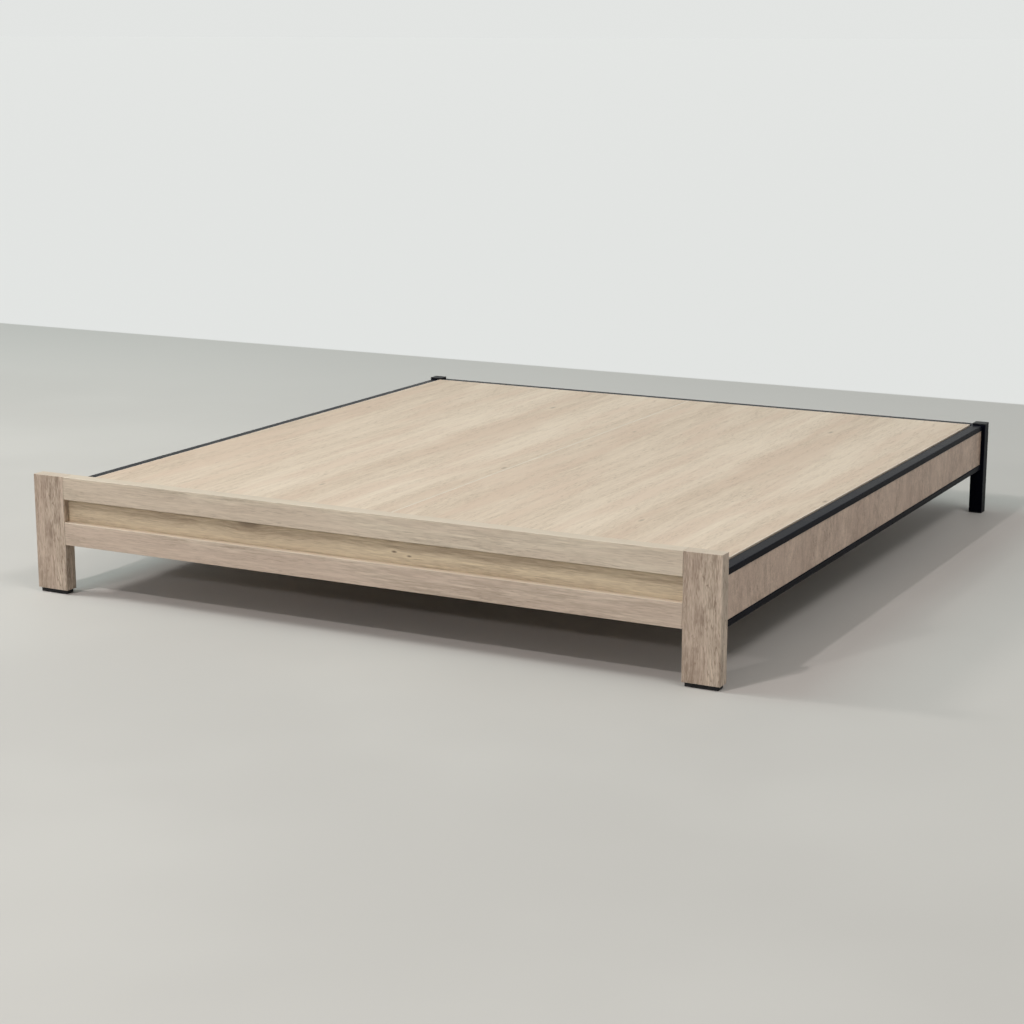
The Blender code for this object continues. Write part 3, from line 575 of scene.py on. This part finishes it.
def rounded(node, finish, slot, corner):
    """A piece that stands for one CAD node, with its sharp edges rounded to this radius."""
    mesh = merged_mesh(node)
    mesh.materials.clear()
    mesh.materials.append(finish)
    piece = bpy.data.objects.new(node + "_skin", mesh)
    bpy.context.scene.collection.objects.link(piece)
    if corner:
        bevel = piece.modifiers.new("corner", "BEVEL")
        bevel.width = corner
        bevel.segments = 2
        bevel.limit_method = "ANGLE"
        bevel.angle_limit = BEVELLED
        bevel.use_clamp_overlap = True
        settled(piece)
    piece.data.shade_smooth()
    piece.data.set_sharp_from_angle(angle=SHARP)
    weigh = piece.modifiers.new("flat faces", "WEIGHTED_NORMAL")
    weigh.keep_sharp = True
    return keep(settled(piece), body_of(node), slot, node)


print("corners sharper than", round(math.degrees(SHARP)), "degrees stay crisp")

# %% [markdown]
# ## Foot end
#
# Two posts stand at the corners with their grain upright. Two rails run between them, and a
# thinner panel sits in grooves, set back from their faces, so that it lies in shade at the top
# and in light at the bottom. The panel's print ramp adds painted shade to its upper part too.

# %% Foot end
WOOD_CORNER = 0.35 * MILLIMETRE
FOOT_POSTS = [f"foot_post_{label}" for label in SIDES]

foot_end = []
for node in FOOT_POSTS:
    layers = {**POST_LAYERS, "shift": POST_LAYERS["shift"] + 5.0 * FOOT_POSTS.index(node)}
    finish = oak(node + "_oak", node, "Z", POST_COLOURS, layers)
    foot_end.append(rounded(node, finish, "foot_end_oak", WOOD_CORNER))
for node, colours in (("foot_top_rail", TOP_RAIL_COLOURS), ("foot_bottom_rail", LOW_RAIL_COLOURS)):
    layers = {**RAIL_LAYERS, "shift": RAIL_LAYERS["shift"] + len(node)}
    finish = oak(node + "_oak", node, "X", colours, layers)
    foot_end.append(rounded(node, finish, "foot_end_oak", WOOD_CORNER))
panel_low, panel_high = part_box("foot_panel")
layers = {**PANEL_LAYERS, "print_width": panel_high.z - panel_low.z}
finish = oak("foot_panel_oak", "foot_panel", "X", PANEL_COLOURS, layers, PANEL_KNOTS)
foot_end.append(rounded("foot_panel", finish, "foot_panel_oak", WOOD_CORNER))
print("foot end:", ", ".join(piece.name for piece in foot_end))

# %% [markdown]
# ## Side panels and platform boards
#
# The side panels fill the space between the steel rails, with upright grain. The platform
# boards are 18 mm boards with the decor on top, banded edges and a plain backing below, where
# the eye never goes. The backing keeps a board from warping, and it is part of the board's own
# recipe: the decor gives way to it where the surface faces down.

# %% Side panels and boards
BACKING = (0.47, 0.37, 0.28)
BACKING_SPECK = (0.53, 0.43, 0.33)
BOARD_CORNER = 0.2 * MILLIMETRE


def add_backing(material):
    """Lets a plain backing take over the decor where the surface faces down."""
    recipe = Recipe(material.node_tree)
    nodes = material.node_tree.nodes
    shader = next(node for node in nodes if node.type == "BSDF_PRINCIPLED")
    decor = Wire(recipe, shader.inputs["Base Color"].links[0].from_socket)
    facing = recipe.split(recipe.add("ShaderNodeNewGeometry").other("True Normal"))[2]
    speck = noise(recipe, place_on(recipe), (400, 400, 400), detail=3.0)
    paper = recipe.mix(speck.ramp(0.3, 0.7), BACKING, BACKING_SPECK)
    recipe.feed(shader.inputs["Base Color"], recipe.mix(facing.ramp(-0.5, -0.8), decor, paper))


for label in SIDES:
    node = f"side_panel_{label}"
    finish = oak(node + "_oak", node, "Z", SIDE_COLOURS, SIDE_LAYERS)
    rounded(node, finish, "side_panel_oak", WOOD_CORNER)
    node = f"platform_board_{label}"
    layers = {**BOARD_LAYERS, "print": LEFT_PRINT} if label == "left" else BOARD_LAYERS
    finish = oak(node + "_oak", node, "Y", BOARD_COLOURS, layers, BOARD_KNOTS)
    add_backing(finish)
    rounded(node, finish, "platform_oak", BOARD_CORNER)
print("boards and panels are on their bodies")

# %% [markdown]
# ## Steel frames
#
# The tubes each get a coat of their own, because the pale line of thin powder follows their
# own corners, and they keep the corners of the CAD. The centre legs, plates, angles and
# brackets share one plain coat, and their edges are broken a little. The plastic parts have
# the small round that a mould leaves.

# %% Tubes, plates and plastic
STEEL_CORNER = 0.4 * MILLIMETRE
PLASTIC_CORNER = 0.3 * MILLIMETRE
TUBES = nodes_like(
    "side_upper_rail", "side_lower_rail", "rear_upper_rail", "rear_lower_rail", "rear_post_left",
)
TUBES += ["rear_post_right", "rear_upright", "centre_beam"]
PLATES = nodes_like("front_plate", "rear_plate", "ledge_angle", "beam_bracket", "centre_leg")
for node in TUBES:
    rounded(node, powder_coat(node + "_coat", node), "black_steel", 0)
for node in PLATES:
    rounded(node, coat, "black_steel", STEEL_CORNER)
PLASTIC = nodes_like("foot_glide", "rear_post_cap", "rear_post_foot", "leg_plug")
for node in PLASTIC:
    rounded(node, plastic, "black_plastic", PLASTIC_CORNER)
for node in nodes_like("threaded_insert"):
    rounded(node, zinc, "zinc_steel", 0)
print("tubes:", len(TUBES), "legs and plates:", len(PLATES), "plastic pieces:", len(PLASTIC))

# %% [markdown]
# ## Growing what repeats
#
# Bars, bolts, threads and weld beads are one shape made many times. Geometry Nodes can grow
# them from points or lines: the tree holds the shape and its sizes, and a small host mesh
# holds the places. The result is turned into a plain mesh, so nothing stays live.

# %% Geometry trees
def new_growth(name, sizes):
    """An empty geometry tree whose named inputs are these sizes."""
    tree = bpy.data.node_groups.new(name, "GeometryNodeTree")
    tree.interface.new_socket("Host", in_out="INPUT", socket_type="NodeSocketGeometry")
    tree.interface.new_socket("Result", in_out="OUTPUT", socket_type="NodeSocketGeometry")
    for size in sizes:
        kind = "NodeSocketInt" if size == "Seed" else "NodeSocketFloat"
        tree.interface.new_socket(size, in_out="INPUT", socket_type=kind)
    recipe = Recipe(tree)
    return recipe, recipe.add("NodeGroupInput")


def finish_growth(recipe, instances, material):
    """Makes the instances real, gives them their finish and sends them out."""
    real = recipe.add("GeometryNodeRealizeInstances", None, {"Geometry": instances})
    coated = recipe.add("GeometryNodeSetMaterial", None, {"Geometry": real, "Material": material})
    recipe.add("NodeGroupOutput", None, {"Result": coated})
    return recipe.tree


def grown(name, tree, sizes, points, edges=(), aims=()):
    """A plain piece that a geometry tree grows on these points, edges and directions."""
    host = bpy.data.meshes.new(name)
    host.from_pydata(points, edges, [])
    if aims:
        aim = host.attributes.new("aim", "FLOAT_VECTOR", "POINT")
        aim.data.foreach_set("vector", [number for direction in aims for number in direction])
    piece = bpy.data.objects.new(name, host)
    growth = piece.modifiers.new("growth", "NODES")
    growth.node_group = tree
    for item in tree.interface.items_tree:
        if item.name in sizes:
            growth[item.identifier] = sizes[item.name]
    bpy.context.scene.collection.objects.link(piece)
    return settled(piece)


def prism(recipe, outlines, bottom, height):
    """A closed upright solid over flat outlines; an outline within another is a hole."""
    joined = recipe.add("GeometryNodeJoinGeometry", None, {"Geometry": outlines})
    flat = recipe.add("GeometryNodeFillCurve", {"mode": "NGONS"}, {"Curve": joined})
    lifted = recipe.joined(0.0, 0.0, bottom)
    base = recipe.add("GeometryNodeTransform", None, {"Geometry": flat, "Translation": lifted})
    rise = {"Mesh": base, "Offset": (0.0, 0.0, 1.0), "Offset Scale": height, "Individual": False}
    walls = recipe.add("GeometryNodeExtrudeMesh", {"mode": "FACES"}, rise)
    under = recipe.add("GeometryNodeFlipFaces", None, {"Mesh": base})
    both = recipe.add("GeometryNodeJoinGeometry", None, {"Geometry": [walls, under]})
    return recipe.add("GeometryNodeMergeByDistance", None, {"Geometry": both, "Distance": MERGE})


def circle(recipe, sides, radius):
    """A flat outline with this many sides."""
    sizes = {"Resolution": sides, "Radius": radius}
    return recipe.add("GeometryNodeCurvePrimitiveCircle", {"mode": "RADIUS"}, sizes)


print("growing is ready")

# %% [markdown]
# ## Cross bars
#
# Six bars lie across the bed and carry the boards. Each is a length of thin-walled flat tube,
# open at both ends, so its outline is one rounded rectangle within another.

# %% Hollow bars
BARS = nodes_like("cross_bar")
bar_low, bar_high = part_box(BARS[0])
bar_size = bar_high - bar_low


def hollow_bars(material):
    """A tree that lays one hollow bar on each point of its host."""
    sizes = ("Length", "Width", "Height", "Wall", "Corner")
    recipe, given = new_growth("hollow_bars", sizes)
    length, width, height, wall, corner = (given.other(size) for size in sizes)
    outlines = []
    for step in (0.0, 1.0):  # the outside of the wall, then its inside
        across = {"Width": height - wall * (2 * step), "Height": width - wall * (2 * step)}
        square = recipe.add("GeometryNodeCurvePrimitiveQuadrilateral", {"mode": "RECTANGLE"}, across)
        turn = {"Curve": square, "Radius": corner - wall * step, "Count": 4}
        outlines.append(recipe.add("GeometryNodeFilletCurve", {"mode": "POLY"}, turn))
    bar = prism(recipe, outlines, length * -0.5, length)
    laid = recipe.add("GeometryNodeTransform", None, {"Geometry": bar, "Rotation": (0.0, math.pi / 2, 0.0)})
    bars = recipe.add("GeometryNodeInstanceOnPoints", None, {"Points": given.other("Host"), "Instance": laid})
    return finish_growth(recipe, bars, material)


bar_sizes = {
    "Length": bar_size.x, "Width": bar_size.y, "Height": bar_size.z,
    "Wall": 1.2 * MILLIMETRE, "Corner": 2.0 * MILLIMETRE,
}
middles = [(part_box(node)[0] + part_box(node)[1]) / 2 for node in BARS]
bars = grown("cross_bars", hollow_bars(coat), bar_sizes, middles)
bars.data.shade_smooth()
bars.data.set_sharp_from_angle(angle=SHARP)
keep(bars, "bed_frame", "black_steel", *BARS)
print("cross bars:", len(BARS), "as one piece with", len(bars.data.polygons), "faces")

# %% [markdown]
# ## Bolts and screws
#
# The bed comes apart with socket-head bolts. Every bolt is a turned head with a hexagonal
# pocket for the key, and a shank. Its seat and the length of its shank follow from the box of
# the CAD node, and the other sizes are given below. A direction stored on each host point
# turns the bolt the way that its node points.

# %% Socket heads
def socket_bolts(material):
    """A tree that sets one bolt on each point of its host, turned to the point's aim."""
    sizes = ("Head radius", "Head height", "Pocket radius", "Pocket depth", "Shank radius", "Shank length")
    recipe, given = new_growth("socket_bolts", sizes)
    head_radius, head_height, pocket_radius, pocket_depth, shank_radius, shank_length = (
        given.other(size) for size in sizes
    )
    solid_height = head_height - pocket_depth
    parts = [
        prism(recipe, [circle(recipe, 32, head_radius)], 0.0, solid_height),
        prism(
            recipe,
            [circle(recipe, 32, head_radius), circle(recipe, 6, pocket_radius)],
            solid_height,
            pocket_depth,
        ),
        prism(recipe, [circle(recipe, 24, shank_radius)], shank_length * -1, shank_length),
    ]
    bolt = recipe.add("GeometryNodeJoinGeometry", None, {"Geometry": parts})
    aim = recipe.add("GeometryNodeInputNamedAttribute", {"data_type": "FLOAT_VECTOR"}, {"Name": "aim"})
    turned = recipe.add("FunctionNodeAlignRotationToVector", {"axis": "Z"}, {"Vector": aim})
    places = {"Points": given.other("Host"), "Instance": bolt, "Rotation": turned}
    return finish_growth(recipe, recipe.add("GeometryNodeInstanceOnPoints", None, places), material)


def bolt_seat(node, axis, sense, head_height):
    """Where the head of a bolt meets its seat, and the direction that the head points in."""
    low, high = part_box(node)
    seat = (low + high) / 2
    seat[axis] = high[axis] - head_height if sense > 0 else low[axis] + head_height
    aim = Vector((0, 0, 0))
    aim[axis] = sense
    return tuple(seat), tuple(aim)


# The axis it lies along, then in millimetres: head height, head radius, pocket radius, pocket
# depth and shank radius.
BOLT_KINDS = {
    "front_bolt": (1, 4.5, 7.0, 2.9, 2.6, 4.0),
    "rear_bolt": (0, 4.5, 7.0, 2.9, 2.6, 4.0),
    "bracket_screw": (1, 2.6, 4.5, 1.7, 1.5, 2.2),
}
bolt_tree = socket_bolts(zinc)
for kind, (axis, head, radius, pocket, depth, shank) in BOLT_KINDS.items():
    nodes = nodes_like(kind)
    low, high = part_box(nodes[0])
    sizes = {
        "Head radius": radius * MILLIMETRE, "Head height": head * MILLIMETRE,
        "Pocket radius": pocket * MILLIMETRE, "Pocket depth": depth * MILLIMETRE,
        "Shank radius": shank * MILLIMETRE, "Shank length": high[axis] - low[axis] - head * MILLIMETRE,
    }
    seats = []
    for node in nodes:
        sense = -1 if axis == 0 and "right" in node else 1
        seats.append(bolt_seat(node, axis, sense, head * MILLIMETRE))
    bolts = grown(kind + "s", bolt_tree, sizes, [seat for seat, _ in seats], aims=[aim for _, aim in seats])
    bolts.data.shade_smooth()
    bolts.data.set_sharp_from_angle(angle=SHARP)
    keep(bolts, "bed_frame", "zinc_steel", *nodes)
    print(kind, len(nodes), "seats", [tuple(round(part, 4) for part in seat) for seat, _ in seats])

# %% [markdown]
# ## Levelling feet
#
# Each centre leg ends in a foot on a threaded stem. The copy of the CAD foot has its stem
# thinned to the root of the thread, and a three-sided ridge is swept up a helix around it. Foot
# and ridge ride on the same body, so they rise and sink together when the foot is screwed.

# %% Threads
STEM_RADIUS = 4.0 * MILLIMETRE
THREAD_ROOT = 3.5 * MILLIMETRE
RIDGE_RADIUS = 0.46 * MILLIMETRE
THREAD_PITCH = 1.25 * MILLIMETRE


def thread(material):
    """A tree that winds one ridge round a stem that starts at each point of its host."""
    recipe, given = new_growth("thread", ("Turns", "Rise"))
    sizes = {
        "Resolution": 20, "Rotations": given.other("Turns"), "Start Radius": THREAD_ROOT,
        "End Radius": THREAD_ROOT, "Height": given.other("Rise"),
    }
    helix = recipe.add("GeometryNodeCurveSpiral", None, sizes)
    ridge = circle(recipe, 3, RIDGE_RADIUS)
    sweep = {"Curve": helix, "Profile Curve": ridge, "Fill Caps": True}
    swept = recipe.add("GeometryNodeCurveToMesh", None, sweep)
    places = {"Points": given.other("Host"), "Instance": swept}
    return finish_growth(recipe, recipe.add("GeometryNodeInstanceOnPoints", None, places), material)


thread_tree = thread(zinc)
for node in nodes_like("levelling_foot"):
    low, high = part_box(node)
    middle = (low + high) / 2
    foot = rounded(node, zinc, "zinc_steel", 0)
    stem_bottom = high.z
    for vertex in foot.data.vertices:
        off = Vector((vertex.co.x - middle.x, vertex.co.y - middle.y, 0))
        if off.length < STEM_RADIUS + 0.3 * MILLIMETRE:
            stem_bottom = min(stem_bottom, vertex.co.z)
            vertex.co.x = middle.x + off.x * THREAD_ROOT / STEM_RADIUS
            vertex.co.y = middle.y + off.y * THREAD_ROOT / STEM_RADIUS
    rise = high.z - stem_bottom - 2 * MILLIMETRE
    turns = {"Turns": rise / THREAD_PITCH, "Rise": rise}
    ridge = grown(node + "_thread", thread_tree, turns, [(middle.x, middle.y, stem_bottom + MILLIMETRE)])
    keep(ridge, body_of(node), "zinc_steel")
    print(node, "thread of", round(rise / THREAD_PITCH, 1), "turns")

# %% [markdown]
# ## Weld beads
#
# Where two steel parts of a frame touch, a welder runs a bead along the seam. The beads here
# follow the outline of the area in which the boxes of two parts touch, and only on the sides
# where one part reaches beyond the other, because there the corner is that holds the bead.
# Sides that face up or out are left plain: they are ground flush, so that nothing shows. A
# long seam is welded in stitches.

# %% Weld seams
TOUCH = 1.0 * MILLIMETRE
THINNEST = 3.5 * MILLIMETRE
SEAM_END = 2.0 * MILLIMETRE
STITCH = 0.03
STITCH_STEP = 0.24
SIDE_FRAME_PARTS = ("side_upper_rail", "side_lower_rail", "front_plate", "ledge_angle", "rear_post")
WELDED = [[f"{part}_{label}" for part in SIDE_FRAME_PARTS] for label in SIDES]
WELDED.append(["rear_plate_left", "rear_plate_right", "rear_upper_rail", "rear_lower_rail", "rear_upright"])
WELDED.append(["centre_beam", "centre_leg_front", "centre_leg_rear"])


def seam_lines(first, second):
    """The sides of the area in which two boxes touch that can hold a bead."""
    boxes = (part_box(first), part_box(second))
    lines = []
    for axis in range(3):
        gaps = [abs(boxes[0][1][axis] - boxes[1][0][axis]), abs(boxes[1][1][axis] - boxes[0][0][axis])]
        if min(gaps) > TOUCH:
            continue
        level = boxes[0][1][axis] if gaps[0] <= gaps[1] else boxes[0][0][axis]
        u, v = (other for other in range(3) if other != axis)
        low = [max(boxes[0][0][k], boxes[1][0][k]) for k in range(3)]
        high = [min(boxes[0][1][k], boxes[1][1][k]) for k in range(3)]
        if min(high[u] - low[u], high[v] - low[v]) < THINNEST:
            continue
        for fixed, along in ((u, v), (v, u)):
            for side, edge in ((0, low[fixed]), (1, high[fixed])):
                outward = 1 if side else -1
                reach = max(abs(box[side][fixed] - edge) for box in boxes)
                middle = sum(boxes[0][k][fixed] for k in range(2)) / 2
                faces_up = fixed == 2 and outward > 0
                faces_out = fixed != 2 and outward * middle > 0
                if reach < SEAM_END or faces_up or faces_out:
                    continue
                start, end = [0.0] * 3, [0.0] * 3
                start[axis] = end[axis] = level
                start[fixed] = end[fixed] = edge
                start[along], end[along] = low[along] + SEAM_END, high[along] - SEAM_END
                lines.append((Vector(start), Vector(end)))
    return lines


def stitched(start, end):
    """A short seam whole, and a long one as stitches."""
    length = (end - start).length
    if length < 4 * STITCH:
        return [(start, end)]
    count = max(2, round(length / STITCH_STEP))
    way = (end - start) / length
    first = [start + way * ((length - STITCH) * index / (count - 1)) for index in range(count)]
    return [(place, place + way * STITCH) for place in first]


seams = []
for group in WELDED:
    for index, first in enumerate(group):
        for second in group[index + 1:]:
            found = seam_lines(first, second)
            for start, end in found:
                seams += stitched(start, end)
            if found:
                print(first, "to", second, "seams:", len(found))

# %% [markdown]
# A bead is a row of small puddles, each frozen before the next one was laid. A small ball of
# 40 faces, repeated about every two millimetres along the seams, reads as such a row, because
# only a low dome of it stands out of the corner. Each has a size of its own, from 0.85 to 1.12
# of the common one, so that the row doesn't look printed.


# %% Weld beads
def weld_beads(material):
    """A tree that strings domes along the edges of its host."""
    sizes = ("Pitch", "Bead", "Seed")
    recipe, given = new_growth("weld_beads", sizes)
    pitch, bead, seed = (given.other(size) for size in sizes)
    seam = recipe.add("GeometryNodeMeshToCurve", None, {"Mesh": given.other("Host")})
    dotted = recipe.add("GeometryNodeResampleCurve", {"mode": "LENGTH"}, {"Curve": seam, "Length": pitch})
    dome = recipe.add("GeometryNodeMeshUVSphere", None, {"Segments": 8, "Rings": 5, "Radius": bead})
    limits = {2: 0.85, 3: 1.12, "Seed": seed}
    chance = recipe.add("FunctionNodeRandomValue", {"data_type": "FLOAT"}, limits, output=1)
    places = {"Points": dotted, "Instance": dome, "Scale": chance}
    return finish_growth(recipe, recipe.add("GeometryNodeInstanceOnPoints", None, places), material)


points = [place for seam in seams for place in seam]
edges = [(2 * index, 2 * index + 1) for index in range(len(seams))]
bead_sizes = {"Pitch": 2.0 * MILLIMETRE, "Bead": 1.7 * MILLIMETRE, "Seed": 7}
beads = grown("weld_beads", weld_beads(coat), bead_sizes, points, edges)
beads.data.shade_smooth()
keep(beads, "bed_frame", "black_steel")
print("weld seams:", len(seams), "bead faces:", len(beads.data.polygons))

# %% [markdown]
# ## Studio
#
# The bed stands on a grey floor in front of a pale wall. Floor and wall are one great plane:
# from nearly two metres behind the bed on, the plane glows, and seen at a flat angle that reads
# as an even wall. A wall that the lamps lit came out less even.

# %% Floor and wall
FLOOR_LIGHT = (0.60, 0.575, 0.545)
FLOOR_DARK = (0.565, 0.54, 0.512)
# Painted light: the floor is made paler towards the wall.
FLOOR_FAR_LIGHT_PAINT = (0.62, 0.60, 0.575)
WALL_COLOUR = (0.03, 0.03, 0.03)  # dark, because the wall glows by itself
WALL_LIGHT = (0.70, 0.715, 0.70)
WALL_Y = 2.86
FLOOR_DROP = 0.2 * MILLIMETRE  # keeps the floor clear of the undersides of the feet


def studio_floor():
    """A grey floor that turns into a pale wall behind the bed."""
    material, recipe = new_finish("studio_floor")
    place = place_on(recipe)
    cloud = noise(recipe, place, (0.8, 0.8, 0.8), detail=3.0)
    fine = noise(recipe, place, (90, 90, 90), detail=2.0)
    y = recipe.split(place)[1]
    colour = recipe.mix(spread(cloud), FLOOR_DARK, FLOOR_LIGHT)
    # Painted light: from half a metre behind the bed's middle on, the floor turns paler towards the wall.
    colour = recipe.mix(y.ramp(0.5, WALL_Y) * 0.8, colour, FLOOR_FAR_LIGHT_PAINT)
    on_wall = y.ramp(WALL_Y, WALL_Y + 0.03)
    close(
        recipe,
        Base_Color=recipe.mix(on_wall, colour, WALL_COLOUR),
        Emission_Color=recipe.mix(on_wall, (0.0, 0.0, 0.0), WALL_LIGHT),
        Emission_Strength=1.0,
        Roughness=0.6 + (fine - 0.5) * 0.1,
        IOR=1.2,
    )
    return material


bpy.ops.mesh.primitive_plane_add(size=400.0, location=(0, 0, -FLOOR_DROP))
floor = bpy.context.object
floor.name = "studio_floor"
floor.data.materials.append(studio_floor())
print("floor side:", floor.dimensions.x, "m, wall from y =", WALL_Y)

# %% [markdown]
# The room around the bed gives light of its own. It is bright overhead and dim near the floor,
# so that it gets dark quickly under the bed. Only ahead, where the wall is, it is bright near
# the floor too, and the tops of the black rails mirror that at a flat angle.

# %% Room light
ROOM = (0.35, 0.35, 0.34)
ROOM_LOW = (0.11, 0.11, 0.105)
WALL_GLOW = (0.765, 0.78, 0.765)

world = bpy.data.worlds.new("studio")
bpy.context.scene.world = world
world.use_nodes = True
world.node_tree.nodes.clear()
sky = Recipe(world.node_tree)
_, ahead, height = sky.split(sky.add("ShaderNodeTexCoord").other("Generated"))
room = sky.mix(height.ramp(0.0, 0.5), ROOM_LOW, ROOM)
shade = sky.mix(ahead.ramp(0.0, 0.4) * height.ramp(0.55, 0.2), room, WALL_GLOW)
sky.add("ShaderNodeOutputWorld", None, {"Surface": sky.add("ShaderNodeBackground", None, {"Color": shade})})
print("room light:", ROOM, "and near the floor:", ROOM_LOW)

# %% [markdown]
# Five lamps do the rest. A small one on the left lays the patch of light under the left side.
# A wide, cool one high on the same side spreads the soft shadow along the right side. Two small
# lamps in front, one high and one low, draw two steps of shadow under the foot end. A long one
# high on the right lights the right side panel. All but the cool one are a little warm.


# %% Lamps
def lamp(name, place, aim, size, share, colour):
    """An area lamp that lights a level floor at its aim with this share of full brightness."""
    light = bpy.data.objects.new(name, bpy.data.lights.new(name, "AREA"))
    reach = Vector(place) - Vector(aim)
    light.data.shape = "RECTANGLE"
    light.data.size, light.data.size_y = size
    light.data.energy = share * (math.pi * reach.length) ** 2 * reach.length / reach.z
    light.data.color = colour
    light.location = place
    light.rotation_euler = reach.to_track_quat("Z", "Y").to_euler()
    bpy.context.scene.collection.objects.link(light)


lamp("left_lamp", (-4.9, -1.77, 3.5), (0, 0, 0), (0.7, 0.7), 0.14, (1.0, 0.955, 0.935))
lamp("sky_lamp", (-9.0, -2.0, 11.0), (0, 0, 0), (7.0, 7.0), 0.20, (0.70, 1.0, 1.0))
lamp("overhead_lamp", (7.0, -2.8, 11.0), (0, -1, 0), (5.0, 2.4), 0.15, (1.0, 0.97, 0.95))
lamp("front_high_lamp", (-2.0, -7.2, 8.4), (0, -1, 0), (0.35, 0.35), 0.17, (1.0, 0.93, 0.92))
lamp("front_low_lamp", (-2.1, -8.8, 3.7), (0, -1, 0), (0.35, 0.35), 0.065, (1.0, 0.93, 0.92))
